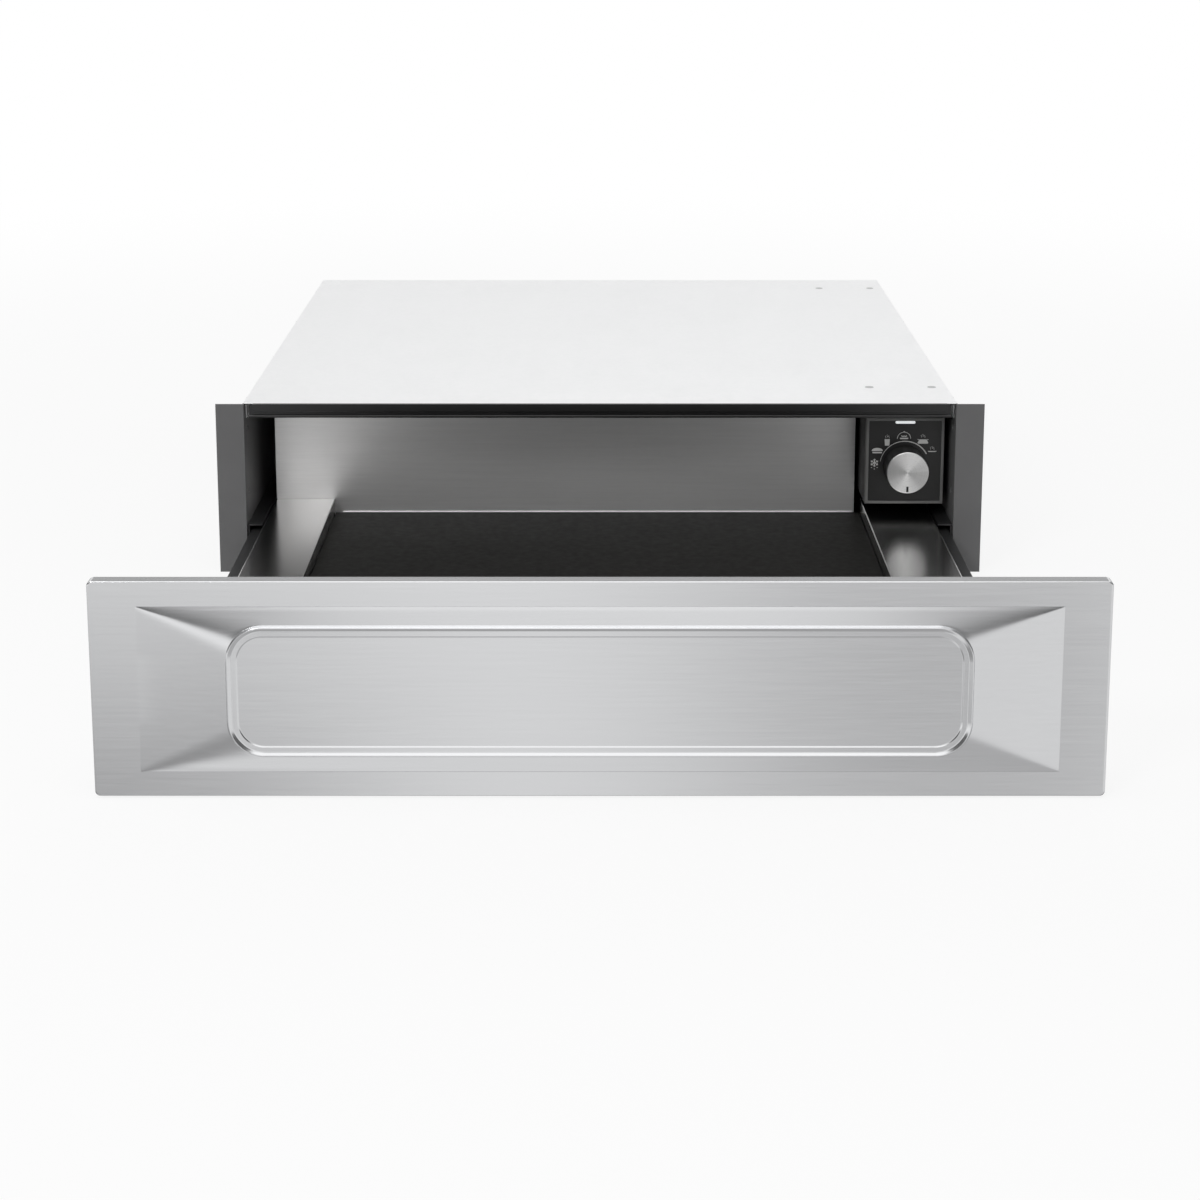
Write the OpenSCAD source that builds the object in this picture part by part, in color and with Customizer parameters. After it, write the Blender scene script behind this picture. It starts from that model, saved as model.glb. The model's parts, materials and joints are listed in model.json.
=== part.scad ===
// Built in warming drawer, stored with the drawer pulled open.
// X runs to the right, Y to the back and Z up, in millimetres.
// The origin is the middle of the casing's underside, in the plane of the cabinet face.

/* [Casing] */
// Width of the casing behind the cabinet face
casing_w = 549.6; // [530:0.2:556]
// Height of the casing
casing_h = 134; // [130:0.5:150]
// Room in the casing behind the slides
casing_room = 43; // [33:1:90]
// Width of a face flange
flange_w = 20.7; // [14:0.1:23]
// Thickness of the casing sheet
sheet = 1; // [0.8:0.1:1.2]
// Width of the folded seams
seam_w = 12; // [10:1:15]

/* [Top trim] */
// Height of the trim band over the opening
trim_h = 6.1; // [4:0.1:8]
// Thickness of the trim band
trim_t = 1.5; // [1:0.1:2]
// Gap between the end of the trim band and the face flange
trim_gap = 6.5; // [4:0.1:8]
// Gap between the end of the rolled lip and the face flange
lip_end_gap = 3.6; // [0.5:0.1:4]
// Drop of the rolled lip below the casing's top
lip_drop = 11.4; // [9:0.1:14]
// Thickness of the rolled lip
lip_d = 2.6; // [2:0.1:3]

/* [Slides] */
// Space beside the tray that holds a slide
slide_gap = 13.8; // [13.6:0.1:15]
// Height of the slides
slide_h = 35; // [35:0.5:36]
// Height of the slides' middle above the casing's underside
slide_z = 20; // [19:0.1:21]
// Length of each slide member
slide_len = 498; // [490:1:500]
// Distance of the slides behind the cabinet face
slide_y = 4; // [2:0.5:8]
// Thickness of the fixed member
outer_t = 1.5; // [1.2:0.1:1.6]
// Thickness of the middle and running members
inner_t = 1.2; // [1:0.1:1.4]
// Diameter of the balls
ball_d = 3.2; // [3:0.1:3.3]
// Length of a ball cage
cage_len = 120; // [80:5:150]
// Thickness of a ball cage
cage_t = 0.4; // [0.3:0.05:0.5]

/* [Drawer] */
// Part of a slide's length that the drawer doesn't travel
travel_short = 67; // [67:1:120]
// Length of the tray beyond that of a slide member
tray_more = 5.4; // [4:0.1:8]
// Thickness of the tray sheet
tray_t = 1; // [0.8:0.1:1.2]
// Height of the tray's ledges above the casing's underside
ledge_z = 39.7; // [39:0.1:42]
// Width of the left ledge
ledge_left_w = 47; // [30:0.5:60]
// Width of the right ledge
ledge_right_w = 51.3; // [40:0.1:60]
// Depth of the well below the ledges
well_d = 13.1; // [8:0.1:15]
// Height of the skirts' lower edge above the casing's underside
skirt_z = 6; // [4:0.5:7]
// Distance of the back wall's top below the casing's top sheet
wall_drop = 19; // [14:1:40]
// Depth of the fold along the back wall's top
hem_d = 7; // [4:0.5:8]
// Thickness of the mat
mat_t = 2; // [1:0.1:3]

/* [Front] */
// Overlap of the front beyond each face flange
front_over = 3; // [0.5:0.1:5]
// Difference between the heights of the casing and the front
front_short = 1.8; // [0:0.1:4]
// Depth of the front with its liner
front_t = 21; // [18:0.5:24]
// Depth of the front's folded edges
rim_t = 9.3; // [7:0.1:12]
// Distance of the liner from the front's sides
liner_side = 11.5; // [8:0.1:15]
// Distance of the liner from the front's upper and lower edges
liner_edge = 7.1; // [5:0.1:9]
// Height of the front's lower edge above the casing's underside
front_lift = 1.5; // [1:0.1:4]
// Radius of the front's corners
front_r = 3; // [1.5:0.5:6]
// Gap between the closed front and the cabinet face
closed_gap = 2; // [1.8:0.1:3]
// Gap that the bumpers leave to the face flanges when closed
bumper_gap = 0.3; // [0.2:0.1:0.5]

/* [Embossing] */
// Flat margin at the left and right of the embossed field
field_side = 28; // [20:0.5:40]
// Flat margin above and below the embossed field
field_edge = 15.4; // [12:0.1:18]
// Rise of the slanted faces
field_rise = 3; // [1:0.1:4]
// Width of the slanted faces beside the raised ring
slope_side = 52; // [40:1:70]
// Width of the slanted faces above and below the raised ring
slope_edge = 10.4; // [8:0.2:16]
// Outer radius of the ring's corners
ring_r = 22; // [16:0.5:30]
// Width of the ring's bead
bead_w = 7; // [5:0.1:9]
// Height of the bead's crest above the margin
crest_rise = 6; // [4.5:0.1:7]
// Height of the middle panel above the margin
panel_rise = 5; // [3.5:0.1:6]

/* [Control column] */
// Width of the control column
column_w = 61.4; // [60:0.1:64]
// Gap between the column and the casing's right side
column_gap = 5; // [3:0.1:6]
// Height of the column's underside above the casing's underside
column_z = 48.4; // [45:0.1:52]
// Distance of the fascia behind the cabinet face
recess = 24; // [22:0.5:30]
// Distance of the fascia frame's top below the casing's top sheet
fascia_drop = 15.2; // [13:0.1:18]
// Width of the fascia frame's border
border_w = 2.5; // [1.5:0.1:4]
// Gap between the back wall and the column
wall_gap = 3.1; // [1:0.1:4]

/* [Knob] */
// Diameter of the knob
knob_d = 33.4; // [28:0.1:36]
// Height of the knob's face in front of the fascia
knob_h = 21; // [16:0.5:22]
// Distance of the knob's axis below the middle of the field under the light
knob_drop = 3.3; // [0:0.1:4]
// Diameter of the knob's shaft
shaft_d = 6; // [5:0.5:6]

/* [Fan] */
// Diameter of the fan rotor
rotor_d = 44; // [36:1:45]
// Room in the column behind the fan rotor for its motor and the terminals
fan_tail = 161.7; // [155:0.1:200]
// Distance of the fan rotor behind the cabinet face
rotor_y = 190; // [170:5:200]
// Number of blades
blade_n = 20; // [12:1:24]
// Diameter of the heating element's tube
heater_d = 6.4; // [5:0.1:6.5]

/* [Cable inlet] */
// Diameter of the cable gland's bore
gland_bore = 8.4; // [6:0.2:10]
// Diameter of the gland's thread
gland_d = 16; // [14:0.5:20]
// Distance of the gland's axis below the casing's top sheet
gland_drop = 33; // [20:1:50]

/* [Hidden] */
$fn = 48;

// Overrun of every cut and clearances shared by many pieces
over = 0.5;
fit_gap = 0.1;
run_gap = 0.3;
shaft_gap = 0.05;

// Lengths that follow the slides
travel = slide_len - travel_short;
casing_d = slide_y + slide_len + casing_room;
tray_len = slide_len + tray_more;

// Widths of the face and heights of the front
face_w = casing_w + 2 * flange_w;
front_w = face_w + 2 * front_over;
front_h = casing_h - front_short;
liner_w = front_w - 2 * liner_side;
liner_h = front_h - 2 * liner_edge;
field_w = front_w - 2 * field_side;
field_h = front_h - 2 * field_edge;
ring_w = field_w - 2 * slope_side;
ring_h = field_h - 2 * slope_edge;

// Planes of the casing
side_in = casing_w / 2 - sheet;
side_out = casing_w / 2;
roof_z = casing_h - sheet;
back_in = casing_d - sheet;

// Planes of the slides, from the tray's skirt outwards
skirt_x = side_in - slide_gap;
slide_run = 1;
outer_web = side_in - outer_t;
middle_web = outer_web - slide_run - inner_t;
running_web = skirt_x + inner_t;
lip_gap = 2.5;
slide_tip = skirt_x + lip_gap;
ball_gap = 0.2;
ball_row = ball_d + 2 * ball_gap;
outer_in = slide_h / 2 - outer_t;
middle_out = outer_in - ball_row;
middle_in = middle_out - inner_t;
running_out = middle_in - ball_row;
ball_n = 8;
ball_x = (slide_tip + middle_web) / 2;

// Planes of the drawer, pulled open
front_y = -(travel + closed_gap + front_t);
front_back = front_y + front_t;
tray_back = front_back + tray_len;
front_z = front_lift + front_h / 2;
well_left = -skirt_x + ledge_left_w;
well_right = skirt_x - ledge_right_w;
floor_z = ledge_z - well_d;
wall_z = roof_z - wall_drop;
column_left = side_in - column_gap - column_w;
column_right = column_left + column_w;
wall_right = column_left - wall_gap;

// Planes of the column
column_x = (column_left + column_right) / 2;
fascia_h = roof_z - column_z - fascia_drop;
gland_z = roof_z - gland_drop;
lamp_w = 15.4;
lamp_h = 1.9;
lamp_drop = 3.9;
lamp_z = column_z + fascia_h - lamp_drop;
knob_z = (column_z + border_w + lamp_z - lamp_h / 2) / 2 - knob_drop;
frame_proud = 1;
frame_d = 4;
fascia_t = 2.5;
housing_y = recess - frame_proud + frame_d;
housing_back = back_in - seam_w - run_gap;
column_floor = column_z + sheet;
column_shift = 1.3;
fan_x = column_x + column_shift;
fan_z = 84;
rotor_len = housing_back - rotor_y - fan_tail;

// Screws and rivets
screw_d = 3.8;
screw_head_d = 7;
screw_head_h = 1.2;
screw_reach = 3;
rivet_d = 3.2;
rivet_head_d = 6.5;
rivet_head_h = 1.2;
seam_screw_n = 4;
seam_screw_margin = 40;
slide_screw_n = 3;
slide_screw_margin = 40;

// A block between two corners
module span(x0, x1, y0, y1, z0, z1) {
    translate([x0, y0, z0]) cube([x1 - x0, y1 - y0, z1 - z0]);
}

// Round bars along each axis
module rod_x(y, z, x0, x1, d) {
    translate([x0, y, z]) rotate([0, 90, 0]) cylinder(h = x1 - x0, d = d);
}

module rod_y(x, z, y0, y1, d) {
    translate([x, y0, z]) rotate([-90, 0, 0]) cylinder(h = y1 - y0, d = d);
}

module rod_z(x, y, z0, z1, d) {
    translate([x, y, z0]) cylinder(h = z1 - z0, d = d);
}

// A rivet along +X: its shank starts at the origin and its head is on the outside
module rivet_x(grip) {
    rod_x(0, 0, 0, grip, rivet_d);
    rod_x(0, 0, grip, grip + rivet_head_h, rivet_head_d);
}

// A countersunk screw along +X with its head's face at the origin
module flat_screw(length, gap = 0) {
    rotate([0, 90, 0]) {
        cylinder(h = length + gap, d = screw_d + 2 * gap);
        cylinder(h = screw_head_h, d1 = screw_head_d + 2 * gap, d2 = screw_d + 2 * gap);
    }
}

// A pan-head screw along +Y with its head's seat at the origin
module pan_screw(length, gap = 0) {
    rotate([-90, 0, 0]) {
        cylinder(h = length, d = screw_d + 2 * gap);
        translate([0, 0, -2 * screw_head_h]) cylinder(h = 2 * screw_head_h, d = screw_head_d);
    }
}

// A slab in the XZ plane with round corners, from y0 to y1
module rounded_slab(w, h, r, y0, y1, z_mid) {
    span(-w / 2 + r, w / 2 - r, y0, y1, z_mid - h / 2, z_mid + h / 2);
    span(-w / 2, w / 2, y0, y1, z_mid - h / 2 + r, z_mid + h / 2 - r);
    for (sx = [-1, 1], sz = [-1, 1])
        rod_y(sx * (w / 2 - r), z_mid + sz * (h / 2 - r), y0, y1, 2 * r);
}

// Evenly spaced place number i of n between two ends
function place(i, n, first, last) = first + (last - first) * i / (n - 1);

// Places along the seams, the slides and the side fixings
seam_places = [for (i = [0:seam_screw_n - 1])
    place(i, seam_screw_n, seam_screw_margin, casing_d - seam_screw_margin)];
slide_places = [for (i = [0:slide_screw_n - 1])
    place(i, slide_screw_n, slide_y + slide_screw_margin, slide_y + slide_len - slide_screw_margin)];

// Casing: the base sheet, its outer seams and its stiffening beads
seam_start = 10;
base_seam_z = seam_w / 2;
bead_rib_w = 14;
bead_rib_h = 1.5;
bead_rib_n = 3;
bead_rib_margin = 90;

module casing_base() {
    color([0.22, 0.22, 0.23]) difference() {
        union() {
            span(-side_out, side_out, 0, casing_d, 0, sheet);
            for (s = [-1, 1])
                span(s > 0 ? side_out : -side_out - sheet, s > 0 ? side_out + sheet : -side_out,
                    seam_start, casing_d, 0, seam_w);
            for (i = [0:bead_rib_n - 1]) base_rib(i);
        }
        for (s = [-1, 1], y = seam_places)
            rod_x(y, base_seam_z, s > 0 ? side_out - over : -side_out - sheet - over,
                s > 0 ? side_out + sheet + over : -side_out + over, rivet_d);
    }
}

module base_rib(i) {
    y = place(i, bead_rib_n, bead_rib_margin, casing_d - bead_rib_margin);
    span(-well_right, well_right, y - bead_rib_w / 2, y + bead_rib_w / 2, sheet, sheet + bead_rib_h);
}

// Casing: one side with its face flange, drilled for the slide, the seams and the cabinet
side_hole_d = 4.5;
side_hole_y = 16;
side_hole_drop = 21;
side_hole_spacing = 50;
side_holes = [roof_z - side_hole_drop - side_hole_spacing, roof_z - side_hole_drop];
seam_screw_z = roof_z - seam_w / 2;

module casing_side() {
    color([0.24, 0.24, 0.25]) difference() {
        union() {
            span(side_in, side_out, 0, casing_d, sheet, roof_z);
            span(side_in, side_out, 0, lip_y, sheet, casing_h);
            span(side_out - over, face_w / 2, 0, sheet, sheet, casing_h);
            span(side_out, face_w / 2, 0, sheet, 0, casing_h);
        }
        for (y = seam_places) {
            rod_x(y, base_seam_z, side_in - over, side_out + over, rivet_d);
            rod_x(y, seam_screw_z, side_in - over, side_out + over, screw_d);
        }
        for (y = slide_places) slide_screw(y, fit_gap);
        for (z = back_rivet_z) rod_x(back_in - seam_w / 2, z, side_in - over, side_out + over, rivet_d);
        for (z = side_holes) rod_x(side_hole_y, z, side_in - over, side_out + over, side_hole_d);
    }
}

module casing_side_left() { mirror([1, 0, 0]) casing_side(); }
module casing_side_right() { casing_side(); }

// Casing: the top with its side seams and the rolled lip over the opening
lip_y = 3;

module casing_top() {
    lip_z = casing_h - lip_drop + lip_d / 2;
    lip_half = side_in - lip_end_gap;
    color([0.62, 0.63, 0.64]) difference() {
        union() {
            span(-side_out, side_out, lip_y, casing_d, roof_z, casing_h);
            for (s = [-1, 1])
                span(s > 0 ? side_in - sheet : -side_in, s > 0 ? side_in : -side_in + sheet,
                    seam_start, casing_d - 2 * seam_w, roof_z - seam_w, roof_z);
            span(-lip_half, lip_half, lip_y, lip_y + sheet, lip_z, roof_z);
            rod_x(lip_y, lip_z, -lip_half, lip_half, lip_d);
        }
        for (s = [-1, 1], y = seam_places)
            rod_x(y, seam_screw_z, s > 0 ? side_in - sheet - over : -side_in - over,
                s > 0 ? side_in + over : -side_in + sheet + over, screw_d);
        column_screw_set(fit_gap);
    }
}

// Casing: the back with its four seams, a louvred vent and the cable hole
vent_n = 9;
vent_w = 4;
vent_h = 30;
vent_pitch = 10;
vent_x = -180;
vent_z = 60;
back_rivet_margin = 30;
back_rivet_drop = 23;
back_rivet_z = [back_rivet_margin, roof_z - back_rivet_drop];

module casing_back() {
    color([0.62, 0.63, 0.64]) difference() {
        union() {
            span(-side_in, side_in, back_in, casing_d, sheet, roof_z);
            for (s = [-1, 1])
                span(s > 0 ? side_in - sheet : -side_in, s > 0 ? side_in : -side_in + sheet,
                    back_in - seam_w, back_in, sheet, roof_z);
            for (z = [sheet, roof_z - sheet])
                span(-side_in, side_in, back_in - seam_w, back_in, z, z + sheet);
        }
        for (i = [0:vent_n - 1])
            span(vent_x + i * vent_pitch, vent_x + i * vent_pitch + vent_w,
                back_in - over, casing_d + over, vent_z, vent_z + vent_h);
        rod_y(column_x, gland_z, back_in - over, casing_d + over, gland_d + 2 * fit_gap);
        for (s = [-1, 1], z = back_rivet_z)
            rod_x(back_in - seam_w / 2, z, s > 0 ? side_in - sheet - over : -side_in - over,
                s > 0 ? side_in + over : -side_in + sheet + over, rivet_d);
    }
}

// Casing: the painted trim band along the top of the opening
module top_trim() {
    half = side_in - trim_gap;
    color([0.13, 0.13, 0.14]) {
        span(-half, half, 0, trim_t, casing_h - trim_h, casing_h);
        span(-half, half, trim_t, lip_y, casing_h - trim_h, casing_h - trim_h + trim_t);
        span(-half, half, trim_t, lip_y, roof_z, casing_h);
    }
}

// Blind rivets of the base and back seams
module casing_rivets() {
    color([0.7, 0.7, 0.7]) for (s = [0, 1]) mirror([s, 0, 0]) {
        for (y = seam_places) translate([side_in, y, base_seam_z]) rivet_x(2 * sheet);
        for (z = back_rivet_z) translate([side_in - sheet, back_in - seam_w / 2, z]) rivet_x(2 * sheet);
    }
}

// Screws of the top seams, driven from the outside
module casing_screws() {
    color([0.7, 0.7, 0.7]) for (s = [0, 1], y = seam_places)
        mirror([s, 0, 0]) {
            rod_x(y, seam_screw_z, side_in - sheet - screw_reach, side_out, screw_d);
            rod_x(y, seam_screw_z, side_out, side_out + 2 * screw_head_h, screw_head_d);
        }
}

// Slides: a channel profile whose web stands at x0 to x1 and whose legs reach to tip
module channel(x0, x1, tip, outer_half, leg_t, y0, y1) {
    span(x0, x1, y0, y1, slide_z - outer_half, slide_z + outer_half);
    for (s = [-1, 1]) {
        low = s > 0 ? slide_z + outer_half - leg_t : slide_z - outer_half;
        span(min(x0, tip), max(x1, tip), y0, y1, low, low + leg_t);
    }
}

module slide_screw(y, gap = 0) {
    translate([outer_web, y, slide_z]) flat_screw(outer_t + sheet + screw_reach, gap);
}

module runner_screw(y, gap = 0) {
    translate([running_web, y, slide_z]) mirror([1, 0, 0])
        flat_screw(inner_t + tray_t + screw_reach, gap);
}

module slide_outer() {
    color([0.2, 0.2, 0.21]) difference() {
        channel(outer_web, side_in, slide_tip, slide_h / 2, outer_t, slide_y, slide_y + slide_len);
        for (y = slide_places) slide_screw(y, fit_gap);
    }
}

access_d = 9;

module slide_middle() {
    start = slide_y - travel / 2;
    color([0.2, 0.2, 0.21]) difference() {
        channel(middle_web, middle_web + inner_t, slide_tip, middle_out, inner_t, start, start + slide_len);
        for (y = slide_places)
            rod_x(y - travel / 2, slide_z, middle_web - over, middle_web + inner_t + over, access_d);
    }
}

module slide_inner() {
    start = slide_y - travel;
    color([0.2, 0.2, 0.21]) difference() {
        channel(skirt_x, running_web, middle_web - slide_run, running_out, inner_t,
            start, start + slide_len);
        for (y = slide_places) runner_screw(y - travel, fit_gap);
    }
}

// A ball cage: a folded strip with a row of balls above and below
module ball_cage(x_web, row_z, start) {
    strip_t = cage_t + fit_gap;
    color([0.8, 0.8, 0.82]) {
        difference() {
            union() {
                span(x_web, x_web + cage_t, start, start + cage_len, slide_z - row_z, slide_z + row_z);
                for (s = [-1, 1])
                    span(slide_tip, x_web + cage_t, start, start + cage_len,
                        slide_z + s * row_z - strip_t / 2, slide_z + s * row_z + strip_t / 2);
            }
            for (i = [0:ball_n - 1], s = [-1, 1]) cage_ball(i, s * row_z, start, fit_gap);
        }
        for (i = [0:ball_n - 1], s = [-1, 1]) cage_ball(i, s * row_z, start, 0);
    }
}

module cage_ball(i, row_z, start, gap) {
    y = place(i, ball_n, start + ball_row, start + cage_len - ball_row);
    translate([ball_x, y, slide_z + row_z]) sphere(d = ball_d + 2 * gap);
}

module outer_cage() {
    shared = slide_y + slide_len / 2 - travel / 4;
    row_z = (outer_in + middle_out) / 2;
    ball_cage(outer_web - slide_run / 2 - cage_t / 2, row_z, shared - cage_len / 2);
}

module inner_cage() {
    shared = slide_y + slide_len / 2 - 3 * travel / 4;
    row_z = (middle_in + running_out) / 2;
    ball_cage(middle_web - slide_run / 2 - cage_t / 2, row_z, shared - cage_len / 2);
}

module slide_outer_left() { mirror([1, 0, 0]) slide_outer(); }
module slide_outer_right() { slide_outer(); }
module slide_middle_left() { mirror([1, 0, 0]) slide_middle(); }
module slide_middle_right() { slide_middle(); }
module slide_inner_left() { mirror([1, 0, 0]) slide_inner(); }
module slide_inner_right() { slide_inner(); }
module outer_cage_left() { mirror([1, 0, 0]) outer_cage(); }
module outer_cage_right() { outer_cage(); }
module inner_cage_left() { mirror([1, 0, 0]) inner_cage(); }
module inner_cage_right() { inner_cage(); }

module slide_screws() {
    color([0.6, 0.6, 0.6]) for (s = [0, 1], y = slide_places) mirror([s, 0, 0]) slide_screw(y);
}

module runner_screws() {
    color([0.6, 0.6, 0.6]) for (s = [0, 1], y = slide_places) mirror([s, 0, 0]) runner_screw(y - travel);
}

// Drawer: the folded tray with a ledge along each side of its well
bracket_w = 30;
bracket_l = 32;
bracket_t = 2;
bracket_low = 9;
bracket_h = 27;
front_screw_z = [16, 30];
front_screw_x = skirt_x - tray_t - bracket_w / 2 - bracket_t;
tray_rivet_n = 5;
wall_foot_d = 18;
wall_foot_margin = 20;
tray_rivet_y = tray_back - wall_foot_d / 2;

module tray() {
    color([0.6, 0.6, 0.61]) difference() {
        union() {
            for (s = [0, 1])
                mirror([s, 0, 0]) span(skirt_x - tray_t, skirt_x, front_back, tray_back, skirt_z, ledge_z);
            span(-skirt_x, well_left, front_back, tray_back, ledge_z - tray_t, ledge_z);
            span(well_right, skirt_x, front_back, tray_back, ledge_z - tray_t, ledge_z);
            span(well_left - tray_t, well_left, front_back, tray_back, floor_z - tray_t, ledge_z);
            span(well_right, well_right + tray_t, front_back, tray_back, floor_z - tray_t, ledge_z);
            span(well_left, well_right, front_back, tray_back, floor_z - tray_t, floor_z);
            span(-skirt_x, skirt_x, front_back, front_back + tray_t, skirt_z, ledge_z);
        }
        for (s = [0, 1], y = slide_places) mirror([s, 0, 0]) runner_screw(y - travel, fit_gap);
        front_screw_set(fit_gap);
        tray_rivet_shanks();
    }
}

// Rods along the foot of the back wall, as the shanks or the heads of its rivets
module tray_rivet_row(low, high, d) {
    first = well_left + 2 * wall_foot_margin;
    last = well_right - 2 * wall_foot_margin;
    for (i = [0:tray_rivet_n - 1])
        rod_z(place(i, tray_rivet_n, first, last), tray_rivet_y, low, high, d);
}

module tray_rivet_shanks() {
    tray_rivet_row(floor_z - 2 * tray_t, floor_z, rivet_d);
}

module tray_rivets() {
    color([0.7, 0.7, 0.7]) {
        tray_rivet_shanks();
        tray_rivet_row(floor_z - 2 * tray_t - rivet_head_h, floor_z - 2 * tray_t, rivet_head_d);
    }
}

// Drawer: the back wall, which passes to the left of the control column
module back_wall() {
    color([0.58, 0.58, 0.59]) difference() {
        union() {
            span(-skirt_x, wall_right, tray_back, tray_back + tray_t, skirt_z, wall_z);
            span(-skirt_x, wall_right, tray_back, tray_back + hem_d, wall_z - tray_t, wall_z);
            span(well_left + wall_foot_margin, well_right - wall_foot_margin,
                tray_back - wall_foot_d, tray_back, floor_z - 2 * tray_t, floor_z - tray_t);
        }
        tray_rivet_shanks();
    }
}

module mat() {
    mat_gap = 0.5;
    color([0.15, 0.15, 0.14])
        span(well_left + mat_gap, well_right - mat_gap, front_back + tray_t + mat_gap,
            tray_back - mat_gap, floor_z, floor_z + mat_t);
}

// Front: the embossed form, with its height along local Z
bead_steps = 8;
bead_crest_share = 0.55;
emboss_root = 0.5;

function bead_height(t) = t < bead_crest_share
    ? panel_rise + (crest_rise - panel_rise) * sin(90 * t / bead_crest_share)
    : field_rise + (crest_rise - field_rise) * cos(90 * (t - bead_crest_share) / (1 - bead_crest_share));

bead_outline = concat(
    [[ring_r - bead_w, -emboss_root]],
    [for (i = [0:bead_steps]) [ring_r - bead_w + bead_w * i / bead_steps, bead_height(i / bead_steps)]],
    [[ring_r, -emboss_root]]);

module bead_ring() {
    run_x = ring_w / 2 - ring_r;
    run_y = ring_h / 2 - ring_r;
    for (mx = [0, 1], my = [0, 1]) mirror([mx, 0, 0]) mirror([0, my, 0])
        translate([run_x, run_y, 0]) rotate_extrude(angle = 90) polygon(bead_outline);
    for (my = [0, 1]) mirror([0, my, 0])
        translate([0, run_y, 0]) rotate([90, 0, 90])
            linear_extrude(2 * run_x, center = true) polygon(bead_outline);
    for (mx = [0, 1]) mirror([mx, 0, 0])
        translate([run_x, 0, 0]) rotate([0, 0, -90]) rotate([90, 0, 90])
            mirror([0, 0, 1]) linear_extrude(2 * run_y, center = true) polygon(bead_outline);
}

// A shallow frustum with its base at local zero
module frustum(w, h, top_w, top_h, rise, root) {
    intersection() {
        rotate([90, 0, 90]) linear_extrude(w, center = true) frustum_side(h / 2, top_h / 2, rise, root);
        rotate([90, 0, 0]) linear_extrude(h, center = true) frustum_side(w / 2, top_w / 2, rise, root);
    }
}

module frustum_side(half, top_half, rise, root) {
    polygon([[-half, -root], [half, -root], [half, 0], [top_half, rise], [-top_half, rise], [-half, 0]]);
}

module emboss() {
    panel_w = ring_w - 2 * bead_w;
    panel_h = ring_h - 2 * bead_w;
    panel_r = ring_r - bead_w;
    translate([0, front_y, front_z]) rotate([90, 0, 0]) {
        frustum(field_w, field_h, ring_w, ring_h, field_rise, emboss_root);
        bead_ring();
    }
    rounded_slab(panel_w, panel_h, panel_r, front_y - panel_rise, front_y + emboss_root, front_z);
}

module front_skin() {
    inner_w = front_w - 2 * sheet;
    inner_h = front_h - 2 * sheet;
    color([0.78, 0.78, 0.79]) difference() {
        union() {
            rounded_slab(front_w, front_h, front_r, front_y, front_y + rim_t, front_z);
            emboss();
        }
        rounded_slab(inner_w, inner_h, front_r - sheet, front_y + sheet, front_y + rim_t + over, front_z);
        translate([0, sheet, 0]) emboss();
    }
}

// Front: the folded liner that stiffens the skin and carries the tray
module front_liner() {
    color([0.45, 0.45, 0.46]) difference() {
        rounded_slab(liner_w, liner_h, front_r, front_y + sheet, front_back, front_z);
        rounded_slab(liner_w - 2 * sheet, liner_h - 2 * sheet, front_r - sheet,
            front_y + sheet - over, front_back - sheet, front_z);
        front_screw_set(fit_gap);
    }
}

// Screws that hold the front to the tray through the two brackets
module front_screw_set(gap = 0) {
    for (s = [-1, 1], z = front_screw_z)
        translate([s * front_screw_x, front_back + tray_t + bracket_t, z]) rotate([0, 0, 180])
            pan_screw(tray_t + bracket_t + sheet + screw_reach, gap);
}

module front_screws() { color([0.6, 0.6, 0.6]) front_screw_set(); }

module front_bracket() {
    edge = skirt_x - tray_t;
    seat = front_back + tray_t;
    top = bracket_low + bracket_h;
    color([0.7, 0.7, 0.71]) difference() {
        union() {
            span(edge - bracket_w - bracket_t, edge, seat, seat + bracket_t, bracket_low, top);
            span(edge - bracket_t, edge, seat, seat + bracket_l, bracket_low, top);
        }
        front_screw_set(fit_gap);
    }
}

module front_bracket_left() { mirror([1, 0, 0]) front_bracket(); }
module front_bracket_right() { front_bracket(); }

// Rubber bumpers on the front's back, opposite the face flanges
bumper_d = 10;
bumper_side = 6.6;
bumper_edge = 15;

module bumpers() {
    bumper_t = closed_gap - bumper_gap;
    x = liner_w / 2 - bumper_side;
    z = liner_h / 2 - bumper_edge;
    color([0.12, 0.12, 0.12]) for (s = [-1, 1], u = [-1, 1])
        rod_y(s * x, front_z + u * z, front_back, front_back + bumper_t, bumper_d);
}

// Push latch: a cartridge on the casing's base with a sprung plunger, and its strike plate
latch_w = 26;
latch_h = 18;
latch_z = 13;
latch_foot_w = 14;
latch_foot_t = 2;
latch_stroke = 6;
latch_show = 8;
plunger_d = 8;
plunger_collar_d = 11;
plunger_collar_l = 3;
strike_w = 24;
strike_h = 14;
strike_t = 1.5;
closed_back = tray_back + tray_t + strike_t + travel;
plunger_tip = closed_back + run_gap;
latch_front = plunger_tip + latch_show;
latch_back = back_in - seam_w;
latch_wall = 2;

module strike_plate() {
    color([0.7, 0.7, 0.7])
        span(-strike_w / 2, strike_w / 2, tray_back + tray_t, tray_back + tray_t + strike_t,
            latch_z - strike_h / 2, latch_z + strike_h / 2);
}

module latch_body() {
    color([0.3, 0.3, 0.31]) difference() {
        union() {
            span(-latch_w / 2, latch_w / 2, latch_front, latch_back, sheet, latch_z + latch_h / 2);
            span(-latch_w / 2 - latch_foot_w, latch_w / 2 + latch_foot_w, latch_front, latch_back,
                sheet, sheet + latch_foot_t);
        }
        rod_y(0, latch_z, latch_front - over, latch_front + latch_wall + over, plunger_d + 2 * run_gap);
        rod_y(0, latch_z, latch_front + latch_wall, latch_back - latch_wall,
            plunger_collar_d + 2 * run_gap);
    }
}

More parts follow.
